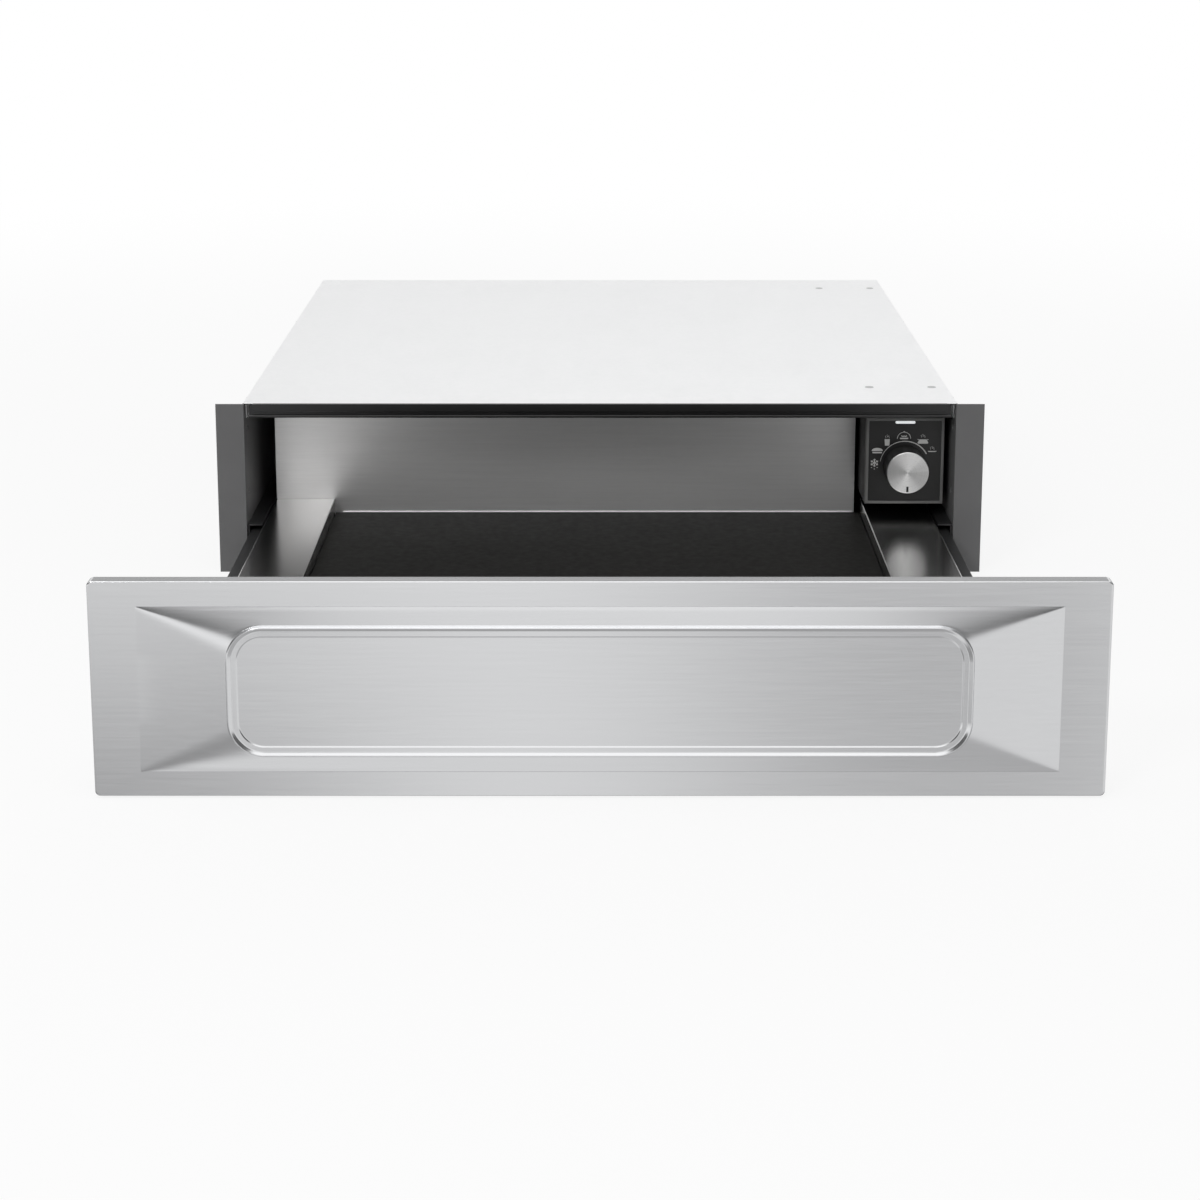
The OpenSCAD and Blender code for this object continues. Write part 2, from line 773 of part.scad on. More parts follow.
module latch_plunger() {
    collar_y = latch_front + latch_wall + run_gap;
    color([0.55, 0.55, 0.57]) {
        rod_y(0, latch_z, plunger_tip, collar_y + plunger_collar_l, plunger_d);
        rod_y(0, latch_z, collar_y, collar_y + plunger_collar_l, plunger_collar_d);
    }
}

// Column: the folded housing that holds the fan and the heater
slot_n = 10;
slot_pitch = 18;
slot_w = 3.5;
slot_h = 34;
slot_z = 66;
slot_y = 200;
inlet_n = 5;
inlet_y = 80;
fold_w = 9;
column_screw_inset = 5;
column_screw_front = 33;
column_screw_rear = 31.7;
column_screw_x = [column_left + sheet + column_screw_inset, column_right - sheet - column_screw_inset];
column_screw_y = [housing_y + column_screw_front, housing_back - column_screw_rear];
wire_hole_d = 14;

module column_screw_set(gap = 0) {
    for (x = column_screw_x, y = column_screw_y)
        translate([x, y, casing_h]) rotate([0, 90, 0]) flat_screw(2 * sheet + screw_reach, gap);
}

module column_housing() {
    color([0.12, 0.12, 0.12]) difference() {
        span(column_left, column_right, housing_y, housing_back, column_z, roof_z);
        span(column_left + sheet, column_right - sheet, housing_y - over, housing_back - sheet,
            column_floor, roof_z - sheet);
        span(column_left + fold_w, column_right - fold_w, housing_y - over, housing_back - sheet,
            column_floor, roof_z + over);
        for (i = [0:slot_n - 1])
            span(column_left - over, column_left + sheet + over, slot_y + i * slot_pitch,
                slot_y + i * slot_pitch + slot_w, slot_z, slot_z + slot_h);
        for (i = [0:inlet_n - 1])
            span(column_left - over, column_left + sheet + over, inlet_y + i * slot_pitch,
                inlet_y + i * slot_pitch + slot_w, slot_z, slot_z + slot_h);
        rod_y(column_x, gland_z, housing_back - sheet - over, housing_back + over, wire_hole_d);
        column_screw_set(fit_gap);
    }
}

module column_screws() { color([0.6, 0.6, 0.6]) column_screw_set(); }

// Column: the bevelled frame and the black fascia inside it
bevel_w = 0.9;
fascia_z = column_z + fascia_h / 2;
lamp_gap = 0.15;
bush_d = 9;

module fascia_frame() {
    front = recess - frame_proud;
    opening_w = column_w - 2 * border_w;
    opening_h = fascia_h - 2 * border_w;
    color([0.46, 0.46, 0.45]) translate([column_x, 0, fascia_z]) difference() {
        translate([0, recess, 0]) rotate([90, 0, 0])
            frustum(column_w, fascia_h, column_w - bevel_w, fascia_h - bevel_w,
                frame_proud, frame_d - frame_proud);
        span(-opening_w / 2, opening_w / 2, front - over, front + frame_d + over,
            -opening_h / 2, opening_h / 2);
    }
}

module lamp_form(y0, y1, gap) {
    r = lamp_h / 2;
    reach = lamp_w / 2 - r;
    translate([column_x, 0, lamp_z]) {
        span(-reach, reach, y0, y1, -r - gap, r + gap);
        for (s = [-1, 1]) rod_y(s * reach, 0, y0, y1, lamp_h + 2 * gap);
    }
}

module fascia() {
    w = column_w - 2 * border_w;
    h = fascia_h - 2 * border_w;
    color([0.1, 0.1, 0.1]) difference() {
        translate([column_x, 0, fascia_z]) span(-w / 2, w / 2, recess, recess + fascia_t, -h / 2, h / 2);
        rod_y(column_x, knob_z, recess - over, recess + fascia_t + over, bush_d + 2 * fit_gap);
        lamp_form(recess - over, recess + fascia_t + over, lamp_gap);
    }
}

// Circuit board behind the fascia, on four posts, with its lamp and parts
board_reach = 31;
board_y = recess + fascia_t + board_reach;
board_t = 1.6;
board_inset = 4;
post_d = 6;
post_inset = 5;
led_d = 3;
led_gap = 0.3;
board_left = column_left + board_inset;
board_right = column_right - board_inset;
board_low = column_floor + board_inset;
board_high = lamp_z + board_inset;
// The parts' places as shares of the board's width and height, and their width, depth and height
part_shares = [[0.2, 0.2], [0.78, 0.25], [0.25, 0.75], [0.8, 0.75]];
part_sizes = [[18, 15, 12], [12, 14, 16], [10, 9, 22], [14, 8, 10]];

module light_pipe() {
    color([0.95, 0.95, 0.95]) lamp_form(recess - led_gap, board_y - led_d - led_gap, 0);
}

module circuit_board() {
    color([0.1, 0.35, 0.2])
        span(board_left, board_right, board_y, board_y + board_t, board_low, board_high);
}

module board_parts() {
    color([0.2, 0.2, 0.22]) {
        translate([column_x, board_y, lamp_z]) span(-led_d, led_d, -led_d, 0, -led_d / 2, led_d / 2);
        for (i = [0:len(part_sizes) - 1]) {
            x = board_left + (board_right - board_left) * part_shares[i][0];
            z = board_low + (board_high - board_low) * part_shares[i][1];
            w = part_sizes[i][0];
            h = part_sizes[i][2];
            translate([x, board_y + board_t, z]) span(-w / 2, w / 2, 0, part_sizes[i][1], -h / 2, h / 2);
        }
    }
}

module board_posts() {
    post_x = [board_left + post_inset, board_right - post_inset];
    post_z = [board_low + post_inset, board_high - 2 * post_inset];
    color([0.85, 0.85, 0.8]) for (x = post_x, z = post_z) rod_y(x, z, recess + fascia_t, board_y, post_d);
}

// Knob: a black skirt with a spun metal cap and an inlaid pointer
knob_face = recess - knob_h;
cap_t = 1;
cap_rim = 0.25;
skirt_gap = 0.5;
knob_hollow_d = 20;
knob_hollow_l = 6;
hub_l = 12;
pointer_w = 1.7;
pointer_l = 4.4;
pointer_edge = 1.4;
pointer_t = 0.5;
pointer_proud = 0.1;

module knob_skirt() {
    color([0.08, 0.08, 0.08]) difference() {
        rod_y(column_x, knob_z, knob_face + cap_t, recess - skirt_gap, knob_d);
        rod_y(column_x, knob_z, recess - skirt_gap - knob_hollow_l, recess, knob_hollow_d);
        rod_y(column_x, knob_z, recess - skirt_gap - knob_hollow_l - hub_l + over, recess, shaft_d);
    }
}

module pointer_form(y0, y1) {
    low = knob_z - knob_d / 2 + pointer_edge;
    span(column_x - pointer_w / 2, column_x + pointer_w / 2, y0, y1, low, low + pointer_l);
}

module knob_cap() {
    color([0.78, 0.78, 0.78]) difference() {
        rod_y(column_x, knob_z, knob_face, knob_face + cap_t, knob_d - 2 * cap_rim);
        pointer_form(knob_face - over, knob_face + pointer_t);
    }
}

module knob_pointer() {
    color([0.03, 0.03, 0.03]) pointer_form(knob_face - pointer_proud, knob_face + pointer_t);
}

// Rotary control behind the fascia: body with a bushing, nut and turning shaft
control_w = 30;
control_l = 20;
nut_d = 14;
nut_l = 2.5;
bush_l = 4;
shaft_deep = 16;

module control_body() {
    rear = recess + fascia_t;
    color([0.85, 0.84, 0.8]) difference() {
        union() {
            translate([column_x, 0, knob_z])
                span(-control_w / 2, control_w / 2, rear, rear + control_l, -control_w / 2, control_w / 2);
            rod_y(column_x, knob_z, recess - bush_l, rear + over, bush_d);
        }
        rod_y(column_x, knob_z, recess - bush_l - over, rear + shaft_deep, shaft_d + 2 * shaft_gap);
    }
}

module control_shaft() {
    front = recess - skirt_gap - knob_hollow_l - hub_l + over;
    rear = recess + fascia_t + shaft_deep - run_gap;
    color([0.7, 0.7, 0.7]) rod_y(column_x, knob_z, front, rear, shaft_d);
}

module control_nut() {
    color([0.7, 0.7, 0.6]) translate([column_x, recess - nut_l, knob_z]) rotate([-90, 0, 0]) difference() {
        cylinder(h = nut_l, d = nut_d, $fn = 6);
        translate([0, 0, -over]) cylinder(h = nut_l + 2 * over, d = bush_d);
    }
}

// Fan: a cross-flow rotor on its own shaft between two end plates
rotor_disc_t = 1.5;
blade_l = 7;
blade_t = 0.8;
blade_tilt = 35;
fan_shaft_d = 5;
plate_gap = 1;
plate_t = 1.5;
motor_gap = 22;
motor_l = 25;
stator_w = 42;
stator_h = 46;
stator_drop = 22;
stator_bore = 22;
motor_rotor_d = 21.2;
motor_rotor_ends = 1;
coil_w = 30;
coil_h = 14;
coil_over = 6;
leg_h = 9;
end_near = rotor_y - plate_gap - plate_t;
end_far = rotor_y + rotor_len + plate_gap;
motor_y = end_far + plate_t + motor_gap;
shaft_out = 6;

module fan_rotor() {
    color([0.66, 0.67, 0.68]) difference() {
        union() {
            rod_y(fan_x, fan_z, rotor_y, rotor_y + rotor_disc_t, rotor_d);
            rod_y(fan_x, fan_z, rotor_y + rotor_len - rotor_disc_t, rotor_y + rotor_len, rotor_d);
            for (i = [0:blade_n - 1]) translate([fan_x, rotor_y, fan_z]) rotate([0, 360 * i / blade_n, 0])
                translate([rotor_d / 2 - blade_l, 0, 0]) rotate([0, blade_tilt, 0])
                    cube([blade_l, rotor_len, blade_t]);
        }
        rod_y(fan_x, fan_z, rotor_y - over, rotor_y + rotor_len + over, fan_shaft_d);
    }
}

module fan_shaft() {
    color([0.6, 0.6, 0.62])
        rod_y(fan_x, fan_z, end_near - shaft_out, motor_y + motor_l + plate_t + shaft_out, fan_shaft_d);
}

module end_plate(y) {
    difference() {
        span(column_left + sheet, column_right - sheet, y, y + plate_t,
            column_floor, roof_z - sheet - fit_gap);
        rod_y(fan_x, fan_z, y - over, y + plate_t + over, fan_shaft_d + 2 * shaft_gap);
    }
}

module fan_end_plates() {
    color([0.7, 0.71, 0.72]) {
        difference() {
            end_plate(end_near);
            heater_legs(end_near - over, end_near + plate_t + over, fit_gap);
        }
        end_plate(end_far);
    }
}

scroll_gap = 2;
scroll_t = 1;

module fan_scroll() {
    r = rotor_d / 2 + scroll_gap;
    reach = r + scroll_t;
    color([0.68, 0.69, 0.7]) intersection() {
        difference() {
            rod_y(fan_x, fan_z, end_near + plate_t, end_far, 2 * reach);
            rod_y(fan_x, fan_z, end_near, end_far + plate_t, 2 * r);
        }
        span(fan_x, fan_x + reach + over, end_near, end_far + plate_t,
            fan_z - reach - over, fan_z + reach + over);
    }
}

// Motor: a shaded-pole stator with one coil, a rotor on the fan's shaft and a bracket
module motor_stator() {
    color([0.5, 0.5, 0.52]) difference() {
        span(fan_x - stator_w / 2, fan_x + stator_w / 2, motor_y, motor_y + motor_l,
            fan_z - stator_h + stator_drop, fan_z + stator_drop);
        rod_y(fan_x, fan_z, motor_y - over, motor_y + motor_l + over, stator_bore);
        stator_window();
    }
}

module stator_window() {
    low = fan_z - stator_h + stator_drop;
    difference() {
        span(fan_x - coil_w / 2 - fit_gap, fan_x + coil_w / 2 + fit_gap,
            motor_y - over, motor_y + motor_l + over, low - over, low + coil_h - (coil_h - leg_h) / 2);
        span(fan_x - coil_w / 2 - over, fan_x + coil_w / 2 + over,
            motor_y - 2 * over, motor_y + motor_l + 2 * over, low, low + leg_h);
    }
}

module motor_coil() {
    low = fan_z - stator_h + stator_drop - (coil_h - leg_h) / 2;
    color([0.72, 0.4, 0.2]) difference() {
        span(fan_x - coil_w / 2, fan_x + coil_w / 2,
            motor_y - coil_over, motor_y + motor_l + coil_over, low, low + coil_h);
        span(fan_x - coil_w / 2 - over, fan_x + coil_w / 2 + over, motor_y, motor_y + motor_l,
            low + (coil_h - leg_h) / 2, low + (coil_h + leg_h) / 2);
    }
}

module motor_rotor() {
    color([0.55, 0.55, 0.56]) difference() {
        translate([0, -motor_rotor_ends, 0]) rod_y(fan_x, fan_z, motor_y, motor_y + motor_l, motor_rotor_d);
        rod_y(fan_x, fan_z, motor_y - motor_rotor_ends - over, motor_y + motor_l + over, fan_shaft_d);
    }
}

module motor_bracket() {
    seat = motor_y + motor_l;
    color([0.7, 0.71, 0.72]) difference() {
        span(column_left + sheet, column_right - sheet, seat, seat + plate_t,
            column_floor, fan_z + stator_drop);
        rod_y(fan_x, fan_z, seat - over, seat + plate_t + over, fan_shaft_d + 2 * shaft_gap);
        span(fan_x - coil_w / 2 - over, fan_x + coil_w / 2 + over, seat - over, seat + plate_t + over,
            column_floor - over, fan_z - stator_h + stator_drop + coil_h);
    }
}

// Heater: a bent tubular element between the fan and the outlet slots
heater_wall_gap = 0.9;
heater_x = column_left + sheet + heater_wall_gap + heater_d / 2;
heater_spread = 12;
heater_tail = 12;
heater_end_gap = 14;
pin_d = 3;
pin_l = 8;

module heater_legs(y0, y1, gap) {
    for (s = [-1, 1]) rod_y(heater_x, fan_z + s * heater_spread, y0, y1, heater_d + 2 * gap);
}

module heater() {
    start = end_near - heater_tail;
    bend_y = end_far - heater_end_gap - heater_spread;
    color([0.45, 0.42, 0.4]) {
        heater_legs(start, bend_y, 0);
        translate([heater_x, bend_y, fan_z]) rotate([0, 90, 0])
            rotate_extrude(angle = 180) translate([heater_spread, 0]) circle(d = heater_d);
        for (s = [-1, 1]) rod_y(heater_x, fan_z + s * heater_spread, start - pin_l, start, pin_d);
    }
}

// Safety thermostat: a disc on the near end plate with two tabs
cutout_d = 16;
cutout_l = 8;
tab_w = 6;
tab_t = 0.8;
tab_l = 7;
cutout_x = fan_x;
cutout_z = roof_z - sheet - cutout_d;

module safety_thermostat() {
    color([0.2, 0.2, 0.22]) {
        rod_y(cutout_x, cutout_z, end_near - cutout_l, end_near, cutout_d);
        for (s = [-1, 1])
            translate([cutout_x + s * tab_w - tab_t / 2, end_near - cutout_l - tab_l, cutout_z - tab_w / 2])
                cube([tab_t, tab_l, tab_w]);
    }
}

// Terminal block on the column's floor, and the cable gland in the casing's back
terminal_w = 34;
terminal_l = 22;
terminal_h = 18;
terminal_room = 43.7;
terminal_y = housing_back - terminal_room;
terminal_n = 3;
terminal_bore = 3.5;
terminal_deep = 8;

module terminal_block() {
    color([0.9, 0.9, 0.88]) difference() {
        span(column_x - terminal_w / 2, column_x + terminal_w / 2, terminal_y, terminal_y + terminal_l,
            column_floor, column_floor + terminal_h);
        for (i = [0:terminal_n - 1]) {
            x = column_x + (i - (terminal_n - 1) / 2) * terminal_w / terminal_n;
            rod_z(x, terminal_y + terminal_l / 2, column_floor + terminal_h - terminal_deep,
                column_floor + terminal_h + over, terminal_bore);
        }
    }
}

gland_flange_d = 24;
gland_flange_t = 4;
gland_tail = 9;
gland_out = 5;
gland_nut_t = 4;

module cable_gland() {
    inner_end = back_in - gland_tail;
    outer_end = casing_d + gland_flange_t + gland_out;
    color([0.1, 0.1, 0.1]) difference() {
        union() {
            rod_y(column_x, gland_z, inner_end, outer_end, gland_d);
            rod_y(column_x, gland_z, casing_d, casing_d + gland_flange_t, gland_flange_d);
        }
        rod_y(column_x, gland_z, inner_end - over, outer_end + over, gland_bore);
    }
}

module gland_nut() {
    color([0.12, 0.12, 0.12]) translate([column_x, back_in - gland_nut_t, gland_z]) rotate([-90, 0, 0])
        difference() {
            cylinder(h = gland_nut_t, d = gland_flange_d, $fn = 6);
            translate([0, 0, -over]) cylinder(h = gland_nut_t + 2 * over, d = gland_d);
        }
}

casing_base();
casing_side_left();
casing_side_right();
casing_top();
casing_back();
top_trim();
casing_rivets();
casing_screws();
slide_outer_left();
slide_outer_right();
slide_middle_left();
slide_middle_right();
slide_inner_left();
slide_inner_right();
outer_cage_left();
outer_cage_right();
inner_cage_left();
inner_cage_right();
slide_screws();
runner_screws();
tray();
back_wall();
tray_rivets();
mat();
front_skin();
front_liner();
front_bracket_left();
front_bracket_right();
front_screws();
bumpers();
strike_plate();
latch_body();
latch_plunger();
column_housing();
column_screws();
fascia_frame();
fascia();
light_pipe();
knob_skirt();
knob_cap();
knob_pointer();
control_body();
control_shaft();
control_nut();
circuit_board();
board_parts();
board_posts();
fan_rotor();
fan_shaft();
fan_end_plates();
fan_scroll();
motor_stator();
motor_coil();
motor_rotor();
motor_bracket();
heater();
safety_thermostat();
terminal_block();
cable_gland();
gland_nut();
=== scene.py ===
import json
import math

import bmesh
import bpy
from mathutils import Matrix, Vector


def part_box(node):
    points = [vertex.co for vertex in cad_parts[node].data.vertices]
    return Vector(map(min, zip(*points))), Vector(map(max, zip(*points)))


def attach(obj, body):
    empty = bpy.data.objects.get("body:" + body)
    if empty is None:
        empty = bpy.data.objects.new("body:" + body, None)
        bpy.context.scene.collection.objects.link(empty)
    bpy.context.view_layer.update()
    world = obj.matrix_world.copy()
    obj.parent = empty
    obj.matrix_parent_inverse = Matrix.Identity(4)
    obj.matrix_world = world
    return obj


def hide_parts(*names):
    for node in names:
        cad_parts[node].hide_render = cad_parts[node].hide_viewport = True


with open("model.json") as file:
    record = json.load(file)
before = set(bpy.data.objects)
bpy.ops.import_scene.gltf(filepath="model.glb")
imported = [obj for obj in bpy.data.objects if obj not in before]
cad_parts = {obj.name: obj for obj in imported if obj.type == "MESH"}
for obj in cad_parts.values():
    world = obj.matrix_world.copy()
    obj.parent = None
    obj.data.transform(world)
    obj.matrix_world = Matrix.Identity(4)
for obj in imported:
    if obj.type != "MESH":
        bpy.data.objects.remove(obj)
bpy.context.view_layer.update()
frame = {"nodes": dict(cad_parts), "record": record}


# Studio: the drawer stands on a white floor in a white surround, with soft boxes above and
# beside it. The camera looks straight on and a little down, and its picture is shifted down, so
# that upright edges lean only a little.
class Wire:
    """A socket of a node tree that can be written in sums, and the tree's way to add nodes."""

    def __init__(self, tree, socket=None):
        self.tree = tree
        self.socket = socket

    def node(self, kind, settings=None, inputs=None, out=0):
        """A new node with its settings, its inputs' values or wires, and the output that is used."""
        made = self.tree.nodes.new("ShaderNode" + kind)
        for name, value in (settings or {}).items():
            setattr(made, name, value)
        for name, value in (inputs or {}).items():
            if isinstance(value, Wire):
                self.tree.links.new(value.socket, made.inputs[name])
            else:
                made.inputs[name].default_value = value
        return Wire(self.tree, made.outputs[out])

    def feed(self, socket):
        self.tree.links.new(self.socket, socket)

    def maths(self, operation, *others):
        return self.node("Math", {"operation": operation}, dict(enumerate((self, *others))))

    def ramp(self, value, start, end, low, high):
        """A soft step: low before start, high after end."""
        return self.node("MapRange", {"interpolation_type": "SMOOTHSTEP"},
                         {0: value, 1: start, 2: end, 3: low, 4: high})

    def __add__(self, other):
        return self.maths("ADD", other)

    def __sub__(self, other):
        return self.maths("SUBTRACT", other)

    def __mul__(self, other):
        return self.maths("MULTIPLY", other)

    def __rsub__(self, other):
        return self.node("Math", {"operation": "SUBTRACT"}, {0: other, 1: self})

    __radd__ = __add__
    __rmul__ = __mul__


def ray_is(wire, *kinds):
    """1 for rays of these kinds, 0 for the light that falls on things."""
    rays = [wire.node("LightPath", out="Is %s Ray" % kind) for kind in kinds]
    return rays[0] if len(rays) == 1 else rays[0].maths("MAXIMUM", rays[1])


world = bpy.data.worlds.new("surround")
world.use_nodes = True
world.node_tree.nodes.clear()
wire = Wire(world.node_tree)
way = wire.node("TexCoord", out="Generated")
x, y, z = [wire.node("SeparateXYZ", inputs={0: way}, out=i) for i in range(3)]
aside = x.maths("ABSOLUTE")
lit = wire.ramp(y, -0.5, 0.4, 0.5, 0.95) * wire.ramp(z, 0.3, 0.75, 1.0, 0.6)

# What metal sees, by the direction in which it looks. Low in front: a soft glow that fades to both
# sides, over a floor that gets darker towards the object.
glow = wire.ramp(x, -0.2, -0.03, wire.ramp(z, -0.375, -0.3, 0.5, 0.92), 1.06)
glow = glow * wire.ramp(x, -0.03, 0.13, 1.0, 0.61) + wire.ramp(x, 0.15, 0.29, 0.0, 0.34)
glow = wire.ramp(z, -0.3, -0.2, glow, wire.ramp(x, -0.1, 0.2, 1.22, 1.0))
below = wire.ramp(x, 0.01, 0.12, 1.0, 0.6)
below = wire.ramp(z, -0.78, -0.62, below, wire.ramp(x, -0.2, -0.08, 0.42, below))
below = wire.ramp(z, -0.91, -0.845, 0.5, below)

# Higher in front: a dark horizon with a bright panel in its middle, and a strip light above them.
horizon = wire.ramp(aside, 0.11, 0.2, 1.06, 0.17)
strip = wire.ramp(aside, 0.45, 0.6, 1.5, 0.5)
above = wire.ramp(z, 0.9, 0.96, wire.ramp(z, 0.34, 0.44, horizon, strip), 0.6)
front = wire.ramp(z, -0.12, -0.04, wire.ramp(z, -0.5, -0.4, below, glow), above)

# Behind: a pale wall with a dark gap in its middle, and the floor's shade under it.
gap = wire.ramp(aside, 0.21, 0.27, 0.6, 0.0)
gap = gap * wire.ramp(z, 0.22, 0.26, 0.0, 1.0) * wire.ramp(z, 0.33, 0.36, 1.0, 0.0)
back = wire.ramp(z, 0.3, 0.75, 1.0, 0.57) - gap
under = wire.ramp(aside, 0.62, 0.74, 0.3, wire.ramp(x, -0.2, 0.2, 0.85, 0.6))
back = wire.ramp(z, -0.1, 0.05, under, back)
studio = wire.ramp(y, -0.15, 0.1, front, back)
strength = wire.node("Mix", {"data_type": "FLOAT"}, {0: ray_is(wire, "Glossy"), 2: lit, 3: studio})
lighting = wire.node("Background", inputs={"Color": (1, 1, 1, 1), "Strength": strength})
white = wire.node("Background", inputs={"Color": (1, 1, 1, 1), "Strength": 1.0})
shown = wire.node("MixShader", inputs={0: ray_is(wire, "Camera", "Transmission"), 1: lighting, 2: white})
shown.feed(world.node_tree.nodes.new("ShaderNodeOutputWorld").inputs[0])
bpy.context.scene.world = world

floor_material = bpy.data.materials.new("white_floor")
floor_material.use_nodes = True
floor_material.node_tree.nodes.clear()
wire = Wire(floor_material.node_tree)
spot = wire.node("TexCoord", out="Object")
away = wire.node("VectorMath", {"operation": "LENGTH"}, {0: spot}, out=1)
shadow_share = wire.ramp(away, 0.7, 2.2, 0.86, 1.0)
seen = ray_is(wire, "Camera") * shadow_share
paint = wire.node("BsdfDiffuse", inputs={"Color": (0.9, 0.9, 0.9, 1)})
glow = wire.node("Emission", inputs={"Color": (1, 1, 1, 1), "Strength": 1.0})
shown = wire.node("MixShader", inputs={0: seen, 1: paint, 2: glow})
clear = wire.node("BsdfTransparent")
shown = wire.node("MixShader", inputs={0: ray_is(wire, "Glossy"), 1: shown, 2: clear})
shown.feed(floor_material.node_tree.nodes.new("ShaderNodeOutputMaterial").inputs[0])
floor_reach = 30
bm = bmesh.new()
bmesh.ops.create_grid(bm, x_segments=2, y_segments=2, size=floor_reach)
floor = bpy.data.objects.new("floor", bpy.data.meshes.new("floor"))
bm.to_mesh(floor.data)
bm.free()
floor.data.materials.append(floor_material)
bpy.context.collection.objects.link(floor)

# Each soft box has its place, what it aims at and its size, in metres, and its power in watts.
for name, place, aim, size, power in (
    ("overhead_softbox", (-0.25, -0.75, 2.5), (0, -0.3, 0.0), (2.4, 1.2), 14),
    ("left_softbox", (-1.5, -2.6, 2.1), (0, -0.4, 0.05), (0.9, 0.7), 22),
    ("rear_softbox", (0.3, 2.8, 2.4), (0, 0.2, 0.05), (2.4, 0.8), 6),
):
    lamp = bpy.data.lights.new(name, "AREA")
    lamp.shape = "RECTANGLE"
    lamp.size, lamp.size_y = size
    lamp.energy = power
    holder = bpy.data.objects.new(name, lamp)
    holder.location = place
    holder.rotation_euler = (Vector(aim) - Vector(place)).to_track_quat("-Z", "Y").to_euler()
    bpy.context.collection.objects.link(holder)

lens = bpy.data.cameras.new("camera")
lens.lens = 71.204
lens.sensor_width = 36
lens.shift_y = -0.22
camera = bpy.data.objects.new("camera", lens)
camera.location = (0, -1.77579, 0.54578)
camera.rotation_euler = (math.radians(78.59), 0, 0)
bpy.context.collection.objects.link(camera)
bpy.context.scene.camera = camera
bpy.context.scene.view_settings.view_transform = "Standard"


# Casing: a box of folded steel sheets that stays in the cabinet, riveted and screwed along its
# seams. The base and the two sides with their face flanges are painted dark grey. The back and the
# top are zinc coated; the top's zinc is painted paler, a painted sheen, and its front edge is black.
MM = 0.001
body_of = {n: b for b, names in frame["record"]["behaviour"]["bodies"].items() for n in names}


def finish(name, colour, metallic=0.0, fixed=None):
    """A new material: its tree as a wire and its shader, with what is the same all over set."""
    material = bpy.data.materials.new(name)
    material.use_nodes = True
    shader = material.node_tree.nodes["Principled BSDF"]
    shader.inputs["Base Color"].default_value = (*colour, 1)
    shader.inputs["Metallic"].default_value = metallic
    for socket, value in (fixed or {}).items():
        shader.inputs[socket].default_value = value
    return material, Wire(material.node_tree), shader


def place_on(wire, stretch, turn=(0, 0, 0)):
    """Object coordinates, stretched so that a texture's grain has its real size and run."""
    coordinates = wire.node("TexCoord", out="Object")
    return wire.node("Mapping", inputs={"Vector": coordinates, "Scale": stretch, "Rotation": turn})


def noise(wire, stretch, detail=3.0, roughness=0.5):
    return wire.node("TexNoise", inputs={
        "Vector": place_on(wire, stretch), "Scale": 1.0, "Detail": detail, "Roughness": roughness})


def shade(wire, amount, dark, light):
    """A colour between two, by a value from 0 to 1."""
    return wire.node("Mix", {"data_type": "RGBA"}, {0: amount, 6: (*dark, 1), 7: (*light, 1)}, out=2)


def bump(wire, height, strength, distance):
    return wire.node("Bump", inputs={"Height": height, "Strength": strength, "Distance": distance})


def spread(value, middle, gain):
    """Noise around 0.5 made into a value around middle, changed by gain times as much."""
    return (value - 0.5) * gain + middle


def painted(name, colour, roughness=0.45, peel=0.12):
    """Baked paint: orange peel about a millimetre across, and a faint unevenness of tone and gloss."""
    material, wire, shader = finish(name, colour)
    tone = noise(wire, (14, 14, 14))
    dark = [c * 0.86 for c in colour]
    light = [c * 1.14 for c in colour]
    shade(wire, spread(tone, 0.5, 1.6), dark, light).feed(shader.inputs["Base Color"])
    spread(noise(wire, (60, 60, 60)), roughness, 0.12).feed(shader.inputs["Roughness"])
    bump(wire, noise(wire, (900, 900, 900), 2.0), peel, 0.0002).feed(shader.inputs["Normal"])
    return material


def lies_on(edge, line):
    """Whether an edge lies on a line, given by two of its coordinates in millimetres."""
    near = 0.1 * MM
    return all(abs(v.co["xyz".index(axis)] - at * MM) < near for v in edge.verts for axis, at in line.items())


def round_off(bm, edges, radius, segments):
    bmesh.ops.bevel(bm, geom=edges, offset=radius * MM, offset_type="OFFSET", segments=segments, profile=0.5,
                    affect="EDGES", material=-1, clamp_overlap=False)


def eased(node, material, ease=0.3, *folds):
    """A sheet metal piece from its solid's merged mesh, with its cut edges eased and its folds
    rounded. Folds come as a radius and the lines that have it."""
    shortest_fold, shortest_edge, sharp_from = 5 * MM, 3 * MM, math.radians(40)
    bm = bmesh.new()
    bm.from_mesh(frame["nodes"][node].data)
    bmesh.ops.remove_doubles(bm, verts=bm.verts, dist=0.002 * MM)
    bmesh.ops.dissolve_limit(bm, angle_limit=0.01, verts=bm.verts, edges=bm.edges)
    for radius, lines in folds:
        bent = [e for e in bm.edges
                if e.calc_length() > shortest_fold and any(lies_on(e, line) for line in lines)]
        round_off(bm, bent, radius, 4)
    sharp = [e for e in bm.edges if len(e.link_faces) == 2 and e.calc_length() > shortest_edge
             and e.calc_face_angle() > sharp_from]
    round_off(bm, sharp, ease, 2)
    for face in bm.faces:
        face.material_index = int(isinstance(material, tuple) and painted_part(face))
    return piece(node + "_sheet", bm, body_of[node], material, [node])


def painted_part(face):
    """The casing top's front edge, from its rolled lip to the trim band, is painted black."""
    lip_depth, sheet_top = 8, 133.5
    middle = face.calc_center_median()
    return middle.y < lip_depth * MM and middle.z < sheet_top * MM


